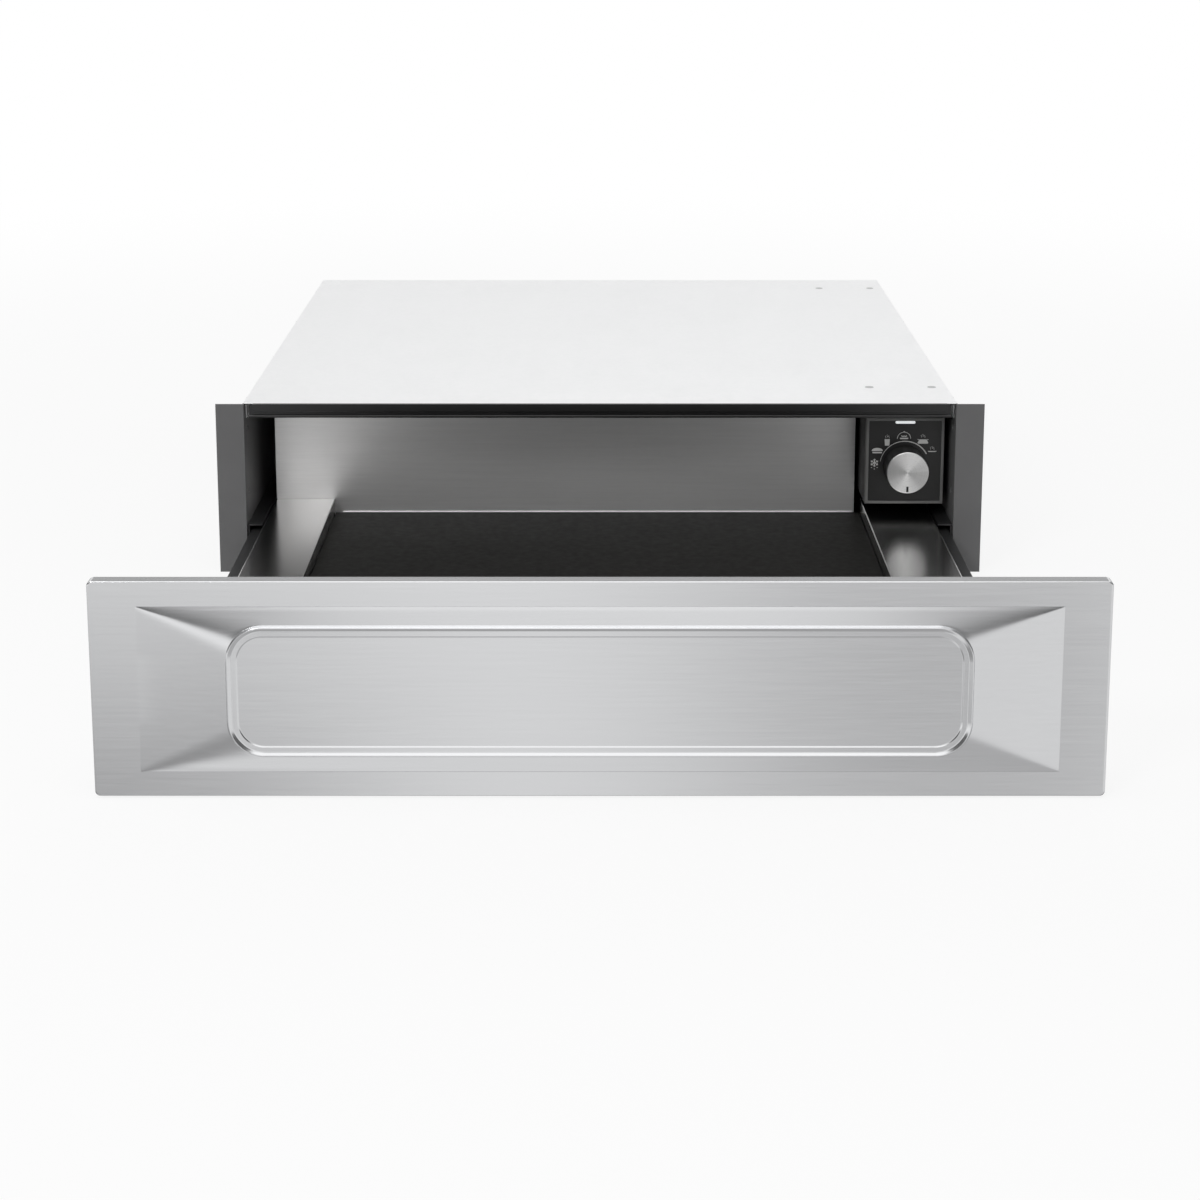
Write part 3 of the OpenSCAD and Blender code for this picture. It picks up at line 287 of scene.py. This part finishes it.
def piece(name, bm, body, material, nodes=(), smooth=35):
    """Makes a finished mesh an object that rides on its body and stands for its solids."""
    mesh = bpy.data.meshes.new(name)
    bm.to_mesh(mesh)
    bm.free()
    mesh.shade_smooth()
    mesh.set_sharp_from_angle(angle=math.radians(smooth))
    made = bpy.data.objects.new(name, mesh)
    bpy.context.collection.objects.link(made)
    for used in material if isinstance(material, tuple) else (material,):
        mesh.materials.append(used)
    weighted = made.modifiers.new("weighted_normals", "WEIGHTED_NORMAL")
    weighted.keep_sharp = True
    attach(made, body)
    if nodes:
        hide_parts(*nodes)
    return made


def dress(material, *nodes):
    """Gives solids that keep their shape the finish of the real pieces."""
    for node in nodes:
        slots = frame["nodes"][node].data.materials
        slots.clear()
        slots.append(material)


casing_paint = painted("casing_paint", (0.15, 0.15, 0.152), 0.45)
eased("casing_base", casing_paint, 0.25)
eased("casing_side_left", casing_paint, 0.3)
eased("casing_side_right", casing_paint, 0.3)


def zinc_sheet(name, dark, light):
    """Hot dipped sheet: zinc crystals one to two centimetres across, each with its own tone and gloss."""
    material, wire, shader = finish(name, light, 1.0)
    crystals = wire.node("TexVoronoi", {"feature": "F1"},
                         {"Vector": place_on(wire, (70, 70, 70)), "Randomness": 1.0}, out="Color")
    tone = wire.node("SeparateColor", inputs={0: crystals})
    haze = noise(wire, (25, 25, 25))
    amount = tone * 0.6 + haze * 0.4
    shade(wire, amount, dark, light).feed(shader.inputs["Base Color"])
    spread(amount, 0.45, 0.25).feed(shader.inputs["Roughness"])
    bump(wire, noise(wire, (500, 500, 500)), 0.1, 0.0001).feed(shader.inputs["Normal"])
    return material


galvanised = zinc_sheet("galvanised_sheet", (0.52, 0.525, 0.53), (0.7, 0.705, 0.71))
# The top's zinc is painted far paler than the back's: a painted sheen that makes its upward face read almost
# white.
painted_sheen_zinc = zinc_sheet("zinc_sheet_painted_sheen", (0.92, 0.925, 0.93), (0.96, 0.962, 0.965))
trim_paint = painted("trim_paint", (0.014, 0.014, 0.0145), 0.32)
eased("casing_back", galvanised, 0.2)
eased("casing_top", (painted_sheen_zinc, trim_paint), 0.3)


# Fasteners: zinc plated steel blind rivets along the casing's base and back, pan head screws along
# its top, and the screws and rivets that hold the slides, the tray, the front and the column.
def plated(name, colour, roughness=0.32):
    """Zinc plating or plain steel: a slightly uneven tone with fine drawn lines."""
    material, wire, shader = finish(name, colour, 1.0)
    tone = noise(wire, (45, 45, 45)) * 0.6 + noise(wire, (700, 700, 700)) * 0.4
    shade(wire, spread(tone, 0.5, 1.8), [c * 0.8 for c in colour], [min(1, c * 1.15) for c in colour]).feed(
        shader.inputs["Base Color"])
    spread(tone, roughness, 0.35).feed(shader.inputs["Roughness"])
    bump(wire, noise(wire, (1200, 1200, 1200)), 0.08, 0.0001).feed(shader.inputs["Normal"])
    return material


fastener_zinc = plated("fastener_zinc", (0.5, 0.5, 0.5), 0.34)
dress(fastener_zinc, "casing_rivets", "casing_screws", "slide_screws", "runner_screws", "tray_rivets",
      "front_screws", "column_screws")


# Trim band: a narrow bent steel strip, painted black, that closes the top of the opening. It lies
# over the casing top's rolled lip, between the two face flanges.
eased("top_trim", trim_paint, 0.35)


# Slides: black passivated steel channels that run in each other on balls in thin cages. On each
# side a fixed member is screwed to the casing, and a middle one carries the tray's running member.
slide_black = painted("slide_black", (0.022, 0.022, 0.023), 0.34, 0.05)
for side in ("left", "right"):
    for member in ("outer", "middle", "inner"):
        eased("slide_" + member + "_" + side, slide_black, 0.25)
ball_polish = plated("ball_polish", (0.66, 0.66, 0.67), 0.15)
dress(ball_polish, "outer_cage_left", "outer_cage_right", "inner_cage_left", "inner_cage_right")


# Tray: one folded sheet of brushed stainless steel with a ledge on each side of its shallow well.
# Its folds have a bend radius, and it hangs on the running members of the slides.
def brushed(name, dark, light, roughness, run, grain=0.35):
    """Brushed stainless steel: hair lines along one direction, longer soft streaks, and faint clouds."""
    material, wire, shader = finish(name, light, 1.0)
    hair = [60 if axis == run else 2600 for axis in "xyz"]
    streak = [14 if axis == run else 600 for axis in "xyz"]
    cloud = [5 if axis == run else 16 for axis in "xyz"]
    lines = noise(wire, hair, 2.0)
    streaks = noise(wire, streak, 3.0)
    clouds = noise(wire, cloud, 2.0)
    tone = lines * 0.35 + streaks * 0.35 + clouds * 0.3
    shade(wire, spread(tone, 0.5, 2.2), dark, light).feed(shader.inputs["Base Color"])
    spread(tone, roughness, 0.12).feed(shader.inputs["Roughness"])
    bump(wire, lines + streaks * 0.4, grain, 0.00003).feed(shader.inputs["Normal"])
    return material


tray_steel = brushed("tray_steel", (0.55, 0.545, 0.54), (0.64, 0.635, 0.63), 0.2, "x", 0.2)
tray_low, tray_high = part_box("tray")
mat_low, mat_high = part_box("mat")
mat_gap = 0.5
tray_back, ledge_level = tray_high.y / MM, tray_high.z / MM
fold_places = tray_low.x / MM, mat_low.x / MM - mat_gap, mat_high.x / MM + mat_gap, tray_high.x / MM
tray_folds = [{"x": x, "z": ledge_level} for x in fold_places]
eased("tray", tray_steel, 0.2, (0.6, [{"y": tray_back, "z": ledge_level}]), (1.1, tray_folds))


# Back wall: a brushed stainless sheet riveted under the tray's floor, with its top folded back. It
# stops short of the control column. Its polished foot shows as a bright roll behind the mat.
# The wall's steel is painted far paler than the tray's: painted light that lifts it out of the shade inside
# the casing.
wall_steel_painted_light = brushed("wall_steel_painted_light", (0.85, 0.846, 0.842), (0.97, 0.966, 0.962), 0.43, "x", 0.25)
wall_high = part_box("back_wall")[1]
eased("back_wall", wall_steel_painted_light, 0.2, (0.6, [{"y": tray_back, "z": wall_high.z / MM}]))
roll_r = 0.65 * MM
roll_start, roll_end = mat_low.x + 5.5 * MM, wall_high.x - 1.5 * MM
across = Matrix.Translation(((roll_start + roll_end) / 2, mat_high.y - 0.1 * MM, mat_high.z + 0.25 * MM))
bm = bmesh.new()
bmesh.ops.create_cone(bm, cap_ends=True, segments=24, radius1=roll_r, radius2=roll_r,
                      depth=roll_end - roll_start, matrix=across @ Matrix.Rotation(math.pi / 2, 4, "Y"))
round_off(bm, [e for e in bm.edges if e.calc_face_angle(0) > 1], 0.3, 3)
seam_polish = brushed("seam_polish", (0.74, 0.74, 0.73), (0.8, 0.8, 0.79), 0.3, "x", 0.05)
roll = piece("wall_foot_roll", bm, "drawer", seam_polish)


# Mat: a loose sheet of matt black silicone rubber with a fine grain. It lies in the tray's well,
# with half a millimetre to spare at each side.
def rubber(name, colour, grain, size):
    """Silicone or moulded rubber: dull, with a fine grain and faint clouds."""
    material, wire, shader = finish(name, colour, fixed={"Specular IOR Level": 0.13})
    tone = noise(wire, (9, 9, 9), 4.0)
    shade(wire, spread(tone, 0.5, 1.5), [c * 0.8 for c in colour], [c * 1.25 for c in colour]).feed(
        shader.inputs["Base Color"])
    spread(noise(wire, (200, 200, 200)), 0.62, 0.2).feed(shader.inputs["Roughness"])
    bump(wire, noise(wire, (size, size, size), 1.0), grain, 0.0002).feed(shader.inputs["Normal"])
    return material


mat_rubber = rubber("mat_rubber", (0.0115, 0.011, 0.0103), 0.35, 1500)
eased("mat", mat_rubber, 0.5)


# Front: a skin pressed from fine brushed stainless steel. Its edges are folded back, slanted faces
# rise from a sharp rectangle to a bead with round corners, and a flat panel lies inside the bead.
front_low, front_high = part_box("front_skin")
front_middle = (front_low.z + front_high.z) / 2
margin_y = -454 * MM


def outline(bm, width, height, radius):
    """A rectangle with round corners as one loop of edges. Each vertex remembers its corner and its
    way out of it."""
    across = Matrix.Rotation(math.pi / 2, 4, "X")
    corners = bmesh.ops.create_grid(bm, x_segments=1, y_segments=1, size=0.5, matrix=across)["verts"]
    bmesh.ops.scale(bm, vec=(width, 1, height), verts=corners)
    bmesh.ops.bevel(bm, geom=corners, offset=radius, offset_type="OFFSET", segments=20,
                    profile=0.5, affect="VERTICES", material=-1, clamp_overlap=False)
    corner = bm.verts.layers.float_color.new("corner")
    for v in bm.verts:
        side_x, side_z = math.copysign(1, v.co.x), math.copysign(1, v.co.z)
        out_x = (v.co.x - side_x * (width / 2 - radius)) / radius
        out_z = (v.co.z - side_z * (height / 2 - radius)) / radius
        v[corner] = side_x, side_z, out_x, out_z
    loop = list(bm.edges)
    bmesh.ops.delete(bm, geom=list(bm.faces), context="FACES_ONLY")
    return loop, corner


# The slanted field and the bead, in millimetres: width and height, the bead's corner radius and
# how far the steep faces rise. Run is the way from the field's edge to the bead's corner centre. The
# crest between the faces is rounded by soft_start at the field's corner, by soft_growth more at the bead.
field, bead, bead_r, rise = (541, 101.4), (437, 80.6), 22, 3.0
run = [size / 2 - (inner / 2 - bead_r) for size, inner in zip(field, bead)]
crest = Vector([length - bead_r * math.sqrt(0.5) for length in run])
steep = rise / (run[1] - bead_r)
gentle = steep * crest.y / crest.x
soft_start, soft_growth = 0.4, 12


def slanted(corner, share):
    """A point of the slanted faces, on its way from the field's edge to the bead. A steep face and a
    gentle one meet in a crest from the field's corner to the bead's, which gets softer on its way."""
    side_x, side_z, out_x, out_z = corner
    turn = math.atan2(abs(out_z), abs(out_x)) / (math.pi / 4) - 1
    start = Vector((run[0] * max(0, turn) ** 1.5, run[1] * max(0, -turn) ** 1.5))
    end = Vector((run[0] - bead_r * abs(out_x), run[1] - bead_r * abs(out_z)))
    a, b = start.lerp(end, share)
    fold = math.hypot(steep, gentle)
    soft = soft_start + soft_growth * Vector((a, b)).dot(crest) / crest.length_squared
    dip = fold * max(0, soft - abs(steep * b - gentle * a) / fold) ** 2 / (4 * soft)
    return side_x * (field[0] / 2 - a), side_z * (field[1] / 2 - b), min(steep * b, gentle * a) - dip


def edge_rows():
    """The folded edge, from inside its hem to the margin and the field, as rings: the width, height
    and corner radius of each, and how far it lies before the margin."""
    width, height = (front_high.x - front_low.x) / MM, (front_high.z - front_low.z) / MM
    sheet, hem, corner_r, fold_r = 1, 9.3, 3, 0.7
    rows = [(width - 2 * sheet, height - 2 * sheet, corner_r - sheet, -sheet),
            (width - 2 * sheet, height - 2 * sheet, corner_r - sheet, 0.1 - hem),
            (width - 1.6, height - 1.6, corner_r - 0.8, -hem),
            (width - 0.4, height - 0.4, corner_r - 0.2, -hem),
            (width, height, corner_r, 0.2 - hem)]
    for step in range(7):
        turn = math.radians(15 * step)
        inset, sunk = fold_r - fold_r * math.cos(turn), fold_r - fold_r * math.sin(turn)
        rows.append((width - 4 * inset, height - 2 * inset, corner_r - inset, -sunk))
    return rows + [(field[0] + 2, field[1] + 2, 1, 0), (field[0] + 0.4, field[1] + 0.4, 0.3, 0)]


# The slanted faces' rings lie at these shares of the way to the bead. The field's edge steps down at
# its top and up at its foot, and the step fades over a quarter of the way.
slant_shares = 0, 0.01, 0.03, 0.08, 0.15, 0.25, 0.35, 0.45, 0.55, 0.65, 0.75, 0.85, 0.93
field_step = 0.17

# The bead's outer side as its way inwards and the share of its height, then its inner side and the
# panel as the way inwards and the lift.
bead_top = 5.2
bead_rise = (0, 0), (0.1, 0.05), (0.22, 0.25), (0.4, 0.56), (0.55, 0.8), (0.7, 0.94), (0.9, 1)
bead_fall = ((1.1, 5.2), (1.35, 5.12), (1.7, 4.97), (2.9, 4.4), (3.2, 4.31), (3.6, 4.28), (6.0, 4.28),
             (6.2, 4.24), (6.45, 4.11), (6.75, 3.94), (6.95, 3.88), (7.2, 3.87))


def front_skin():
    """The skin, ring by ring from its hem over the margin, the slanted faces and the bead to the panel."""
    rows = edge_rows() + [(share,) for share in slant_shares]
    for inset, lift in bead_rise + bead_fall:
        rows.append((bead[0] - 2 * inset, bead[1] - 2 * inset, bead_r - inset, lift))
    bm = bmesh.new()
    loop, corner = outline(bm, *rows[3][:3])
    first = loop
    for i, row in enumerate(rows):
        if i:
            grown = bmesh.ops.extrude_edge_only(bm, edges=loop)["geom"]
            loop = [part for part in grown if isinstance(part, bmesh.types.BMEdge)]
        for v in {v for e in loop for v in e.verts}:
            if len(row) == 1:
                x, z, lift = slanted(v[corner], *row)
                lift -= field_step * v[corner][1] * max(0, 1 - 4 * row[0])
            else:
                width, height, radius, lift = row
                side_x, side_z, out_x, out_z = v[corner]
                x = side_x * (width / 2 - radius) + out_x * radius
                z = side_z * (height / 2 - radius) + out_z * radius
                if bead_r - bead_rise[-1][0] <= radius <= bead_r:
                    foot = slanted(v[corner], 1)[2]
                    lift = foot + (bead_top - foot) * lift
            v.co = x * MM, margin_y - lift * MM, front_middle + z * MM
    bmesh.ops.edgeloop_fill(bm, edges=first)
    bmesh.ops.edgeloop_fill(bm, edges=loop)
    bmesh.ops.recalc_face_normals(bm, faces=bm.faces)
    return bm


front_steel = brushed("front_steel", (0.607, 0.61, 0.62), (0.656, 0.66, 0.67), 0.15, "x", 0.015)
piece("front_panel", front_skin(), "drawer", front_steel, ["front_skin"])


# Liner, brackets and bumpers: the folded inner sheet that stiffens the skin, the two angles that
# tie it to the tray, and the rubber bumpers that meet the face flanges.
liner_zinc = plated("liner_zinc", (0.45, 0.45, 0.46), 0.4)
slide_zinc = plated("slide_zinc", (0.55, 0.56, 0.57), 0.3)
eased("front_liner", liner_zinc, 0.3)
eased("front_bracket_left", slide_zinc, 0.3)
eased("front_bracket_right", slide_zinc, 0.3)
bumper_rubber = rubber("bumper_rubber", (0.012, 0.012, 0.012), 0.2, 2500)
dress(bumper_rubber, "bumpers")
dress(slide_zinc, "strike_plate")


# Push latch: a black plastic cartridge at the back of the casing's base. Its sprung plunger, of a
# paler plastic, meets the strike plate behind the tray and holds the drawer shut.
def moulded(name, colour, roughness=0.5, grain=0.12, size=2600):
    """Moulded plastic with the fine even grain of its mould."""
    material, wire, shader = finish(name, colour)
    tone = noise(wire, (30, 30, 30))
    shade(wire, tone, [c * 0.88 for c in colour], [min(1, c * 1.12) for c in colour]).feed(
        shader.inputs["Base Color"])
    spread(noise(wire, (300, 300, 300)), roughness, 0.15).feed(shader.inputs["Roughness"])
    bump(wire, noise(wire, (size, size, size), 1.0), grain, 0.0001).feed(shader.inputs["Normal"])
    return material


latch_plastic = moulded("latch_plastic", (0.06, 0.06, 0.062))
dress(latch_plastic, "latch_body")
dress(moulded("plunger_plastic", (0.35, 0.35, 0.36)), "latch_plunger")


# Control column: a housing folded from thin steel and painted black. It is screwed to the casing's
# top beside the tray and holds the control, the fan and the heater.
column_paint = painted("column_paint", (0.01, 0.01, 0.01), 0.48)
eased("column_housing", column_paint, 0.3)


# Fascia: a grey bevelled frame round a satin black plate on the column's front. An opal bar takes
# the lamp's light to a slot near the plate's top edge.
frame_paint = painted("frame_paint", (0.16, 0.16, 0.157), 0.38, 0.06)
eased("fascia_frame", frame_paint, 0.15)
fascia_plastic = moulded("fascia_plastic", (0.009, 0.009, 0.009), 0.4, 0.05)
eased("fascia", fascia_plastic, 0.15)
opal, wire, shader = finish("opal_light", (0.9, 0.92, 0.92),
                            fixed={"Roughness": 0.3, "Emission Strength": 0.55})
glow = shade(wire, noise(wire, (400, 400, 400)), (0.86, 0.93, 0.95), (1, 1, 1))
glow.feed(shader.inputs["Emission Color"])
glow.feed(shader.inputs["Base Color"])
dress(opal, "light_pipe")


# Printed marks: light grey paint on the fascia. An arc grows towards the hot end, with a small
# picture of what each setting warms.
mark_paint = moulded("mark_paint", (0.62, 0.62, 0.61), 0.5, 0.02)
fascia_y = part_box("fascia")[0].y
knob_low, knob_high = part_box("knob_skirt")
knob_x = (knob_low.x + knob_high.x) / 2
knob_z = (knob_low.z + knob_high.z) / 2


def turned(radius, start, end, count):
    """Points on an arc round the knob, with the angles in degrees from three o'clock."""
    angles = [math.radians(start + (end - start) * i / (count - 1)) for i in range(count)]
    return [(radius * math.cos(a), radius * math.sin(a)) for a in angles]


def steam(x, z):
    """Three thin curls over something hot."""
    return [[(x + dx + 0.3 * math.sin(1.3 * i), z + lift + 0.42 * i, 0.28) for i in range(6)]
            for dx, lift in ((-1.3, 0), (0, 0.7), (1.3, 0))]


def level_stroke(x, z, ends, middle):
    """A stroke that is the same to both sides of x. Its ends and its middle have a half length, a
    lift and a width."""
    (reach, end_lift, end_width), (half, lift, width) = ends, middle
    return [(x - reach, z + end_lift, end_width), (x - half, z + lift, width),
            (x + half, z + lift, width), (x + reach, z + end_lift, end_width)]


def marks():
    """The strokes of the print, in millimetres: for each point its place from the knob's axis and
    the stroke's width."""
    arc_points = 48
    arc = turned(19.2, 171, 28, arc_points)
    strokes = [[(x, z + 0.9, 0.35 + 0.75 * i / (arc_points - 1)) for i, (x, z) in enumerate(arc)]]

    # A snowflake over three drops
    x, z = -23.5, 2.7
    for tip in range(6):
        a = math.radians(30 + 60 * tip)
        strokes.append([(x, z, 0.8), (x + 3.3 * math.cos(a), z + 3.3 * math.sin(a), 0.7)])
        for lean in (-0.9, 0.9):
            foot_x, foot_z = x + 1.9 * math.cos(a), z + 1.9 * math.sin(a)
            tip_x, tip_z = foot_x + 1.2 * math.cos(a + lean), foot_z + 1.2 * math.sin(a + lean)
            strokes.append([(foot_x, foot_z, 0.6), (tip_x, tip_z, 0.5)])
    for dx, dz in ((-2.2, -3.7), (0, -4.9), (2.2, -3.7)):
        strokes.append([(x + dx - 0.4, z + dz, 0.5), (x + dx, z + dz, 0.85), (x + dx + 0.4, z + dz, 0.5)])

    # A loaf: its crust and its base
    x, z = -21.5, 11.5
    crust = [(-4.2 + 0.7 * i, 2.9 * math.sqrt(max(0.03, 1 - ((i - 6) / 6.2) ** 2))) for i in range(13)]
    strokes.append([(x + dx, z + 0.6 + high / 2, high) for dx, high in crust])
    strokes.append(level_stroke(x, z, (3.7, -0.3, 0.7), (3.2, -0.5, 1.3)))

    # A steaming cup
    x, z = -13.9, 19.5
    strokes.append([(x, z - 2.9, 3.0), (x, z - 2.5, 3.5), (x, z + 2.3, 4.1)])
    strokes += steam(x, z + 3.1)

    # A dish under a round cover with its grip
    x, z = -0.8, 22.2
    strokes.append([(x + dx, z + dz, 0.5) for dx, dz in turned(5.2, 0, 180, 25)])
    strokes.append([(x - 0.6, z + 5.6, 0.5), (x, z + 5.7, 0.9), (x + 0.6, z + 5.6, 0.5)])
    strokes.append(level_stroke(x, z, (3.3, 0.5, 0.6), (2.6, 0.2, 1.3)))
    strokes.append([(x - 2.2 + 0.44 * i, z + 1.9 + 0.35 * math.sin(1.6 * i), 0.8) for i in range(11)])

    # A steaming pan with two handles
    x, z = 14.0, 19.9
    strokes.append(level_stroke(x, z, (3.6, 0.2, 3.4), (3.2, 0, 4.1)))
    for s in (-1, 1):
        strokes.append([(x + s * 3.4, z + 1.6, 0.7), (x + s * 4.2, z + 1.6, 0.6)])
    strokes += steam(x, z + 3.2)

    # A steaming plate
    x, z = 21.4, 11.9
    strokes.append(level_stroke(x, z, (3.4, 0.3, 0.4), (2.4, 0, 0.9)))
    strokes += steam(x, z + 1.5)
    return strokes


def print_marks():
    """The strokes as thin raised ink on the fascia."""
    film = 0.06 * MM
    ink = bpy.data.curves.new("printed_marks", "CURVE")
    ink.dimensions = "3D"
    ink.bevel_depth = 1.0
    ink.bevel_resolution = 1
    ink.use_fill_caps = True
    for stroke in marks():
        line = ink.splines.new("POLY")
        line.points.add(len(stroke) - 1)
        for point, (x, z, width) in zip(line.points, stroke):
            point.co = (x, 0, z, 1)
            point.radius = width / 2
    drawn = bpy.data.objects.new("strokes", ink)
    mesh = bpy.data.meshes.new_from_object(drawn)
    bpy.data.objects.remove(drawn)
    bm = bmesh.new()
    bm.from_mesh(mesh)
    bmesh.ops.remove_doubles(bm, verts=bm.verts, dist=0.001)
    bmesh.ops.scale(bm, vec=(MM, film, MM), verts=bm.verts)
    bmesh.ops.translate(bm, vec=(knob_x, fascia_y, knob_z), verts=bm.verts)
    bmesh.ops.recalc_face_normals(bm, faces=bm.faces)
    return bm


printed = piece("printed_marks", print_marks(), "casing", mark_paint)


# Knob: a black moulded skirt with a spun aluminium cap pressed into it, and a black pointer inlaid
# in the cap. It is pushed on the shaft of the rotary control.
def spun_form(profile, segments=96):
    """A turned piece on the knob's axis, from its profile's radii and places along Y, in millimetres."""
    bm = bmesh.new()
    line = [bm.verts.new((knob_x + radius * MM, y * MM, knob_z)) for radius, y in profile]
    edges = [bm.edges.new(pair) for pair in zip(line, line[1:])]
    bmesh.ops.spin(bm, geom=line + edges, cent=(knob_x, 0, knob_z), axis=(0, 1, 0), angle=2 * math.pi,
                   steps=segments, use_merge=True)
    bmesh.ops.remove_doubles(bm, verts=bm.verts, dist=0.001 * MM)
    bmesh.ops.recalc_face_normals(bm, faces=bm.faces)
    return bm


face_y, foot_y = knob_low.y / MM, knob_high.y / MM
knob_r = (knob_high.x - knob_low.x) / 2 / MM
skirt_profile = [(0, face_y + 0.4), (knob_r - 0.6, face_y + 0.4), (knob_r - 0.3, face_y + 0.15),
                 (knob_r - 0.15, face_y + 0.35), (knob_r, face_y + 1.1), (knob_r, foot_y - 0.6),
                 (knob_r - 0.2, foot_y - 0.1), (10, foot_y), (0, foot_y)]
knob_plastic = moulded("knob_plastic", (0.012, 0.012, 0.012), 0.38, 0.08)
piece("knob_grip", spun_form(skirt_profile), "knob", knob_plastic, ["knob_skirt"])


def spun(name, dark, light):
    """Turned aluminium: fine rings left by the tool, with wedges of light and shade painted into its colour
    by the angle round the axis.
    """
    material, wire, shader = finish(name, light, 1.0)
    centred = wire.node("Mapping", inputs={"Vector": wire.node("TexCoord", out="Object"),
                                           "Location": (-knob_x, 0, -knob_z), "Scale": (1, 0, 1)})
    radius = wire.node("VectorMath", {"operation": "LENGTH"}, {0: centred}, out=1)
    ray = wire.node("VectorMath", {"operation": "NORMALIZE"}, {0: centred})
    across = wire.node("SeparateXYZ", inputs={0: ray}, out=0)
    up = wire.node("SeparateXYZ", inputs={0: ray}, out=2)
    ring_scale, wedge_light_up, wedge_light_across = 5000, 0.985, 0.17
    rings = wire.node("TexNoise", {"noise_dimensions": "1D"},
                      {"W": radius * ring_scale, "Scale": 1.0, "Detail": 2.0})
    painted_wedges = wire.node("TexNoise", inputs={"Vector": ray, "Scale": 1.7, "Detail": 2.0})
    fine = wire.node("TexNoise", inputs={"Vector": ray, "Scale": 22.0, "Detail": 2.0})
    # Painted highlight: the colour is lighter in two wedges above and below the axis and darker to the sides,
    # with painted wedges and streaks from noise on the angle, laid over the tool's real rings.
    lean = up * wedge_light_up + across * wedge_light_across
    tone = lean * lean * 0.55 + painted_wedges * 0.35 + fine * 0.12 + rings * 0.12
    shade(wire, tone, dark, light).feed(shader.inputs["Base Color"])
    spread(rings, 0.3, 0.12).feed(shader.inputs["Roughness"])
    bump(wire, rings, 0.3, 0.00004).feed(shader.inputs["Normal"])
    return material


cap_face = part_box("knob_cap")[0].y / MM
cap_r = (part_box("knob_cap")[1].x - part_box("knob_cap")[0].x) / 2 / MM
cap_profile = [(0, cap_face + 0.12), (0.6, cap_face + 0.08), (1.2, cap_face + 0.04), (2.5, cap_face + 0.03),
               (cap_r - 0.8, cap_face + 0.03), (cap_r - 0.35, cap_face + 0.12),
               (cap_r - 0.08, cap_face + 0.4), (cap_r - 0.05, cap_face + 0.95), (0, cap_face + 0.95)]
spun_aluminium_painted_wedges = spun("spun_aluminium_painted_wedges", (0.26, 0.26, 0.26), (0.97, 0.97, 0.965))
piece("knob_disc", spun_form(cap_profile, 128), "knob", spun_aluminium_painted_wedges, ["knob_cap"], 60)
pointer_paint = moulded("pointer_paint", (0.008, 0.008, 0.008), 0.45, 0.03)
dress(pointer_paint, "knob_pointer")


# Rotary control: a body of pale hard plastic behind the fascia, held by the nut on its bushing, with
# a plated steel shaft. The terminal block and the board's posts are of the same pale plastic.
control_plastic = moulded("control_plastic", (0.7, 0.69, 0.65), 0.5)
dress(control_plastic, "control_body", "terminal_block", "board_posts")
dress(slide_zinc, "control_shaft", "control_nut", "fan_shaft")


# Circuit board: green lacquered glass fibre that stands on four posts behind the fascia. Its lamp,
# relay and capacitors are soldered to it.
board_lacquer, wire, shader = finish("board_lacquer", (0.02, 0.13, 0.05))
tracks = wire.node("TexBrick", {"offset": 0.5}, {
    "Vector": place_on(wire, (1, 1, 1), (math.pi / 2, 0, 0)), "Color1": (0.02, 0.14, 0.055, 1),
    "Color2": (0.015, 0.11, 0.045, 1), "Mortar": (0.05, 0.2, 0.09, 1), "Scale": 90.0, "Mortar Size": 0.03})
tracks.feed(shader.inputs["Base Color"])
spread(noise(wire, (500, 500, 500)), 0.28, 0.15).feed(shader.inputs["Roughness"])
dress(board_lacquer, "circuit_board")
dress(moulded("part_plastic", (0.03, 0.03, 0.032), 0.4), "board_parts")


# Fan: an aluminium cross-flow rotor between two end plates, with its scroll. The motor on its bracket
# turns the rotor's shaft: its stator and rotor are stacks of steel sheets, with a taped coil.
fan_aluminium = plated("fan_aluminium", (0.56, 0.56, 0.57), 0.38)
dress(fan_aluminium, "fan_rotor", "fan_scroll", "fan_end_plates", "motor_bracket")


def laminated():
    """The motor's stack of stamped steel sheets, half a millimetre each."""
    material, wire, shader = finish("laminated_steel", (0.25, 0.25, 0.26), 1.0)
    sheets = wire.node("TexWave", {"bands_direction": "Y"},
                       {"Vector": place_on(wire, (1, 1, 1)), "Scale": 320.0}, out=1)
    shade(wire, sheets, (0.16, 0.15, 0.15), (0.3, 0.3, 0.31)).feed(shader.inputs["Base Color"])
    spread(noise(wire, (200, 200, 200)), 0.45, 0.3).feed(shader.inputs["Roughness"])
    bump(wire, sheets, 0.4, 0.0002).feed(shader.inputs["Normal"])
    return material


dress(laminated(), "motor_stator", "motor_rotor")
coil_tape = moulded("coil_tape", (0.4, 0.17, 0.045), 0.4, 0.3, 900)
dress(coil_tape, "motor_coil")


# Heater: a bent tubular element of annealed steel in front of the outlet slots, and the disc of its
# safety thermostat on the fan's end plate.
heater_steel = plated("heater_steel", (0.24, 0.21, 0.19), 0.5)
dress(heater_steel, "heater")
dress(moulded("thermostat_plastic", (0.05, 0.05, 0.052), 0.45), "safety_thermostat")


# Cable gland: a moulded black nylon gland in the hole in the casing's back, held by its nut on the
# inside.
gland_nylon = moulded("gland_nylon", (0.012, 0.012, 0.012), 0.42)
dress(gland_nylon, "cable_gland", "gland_nut")
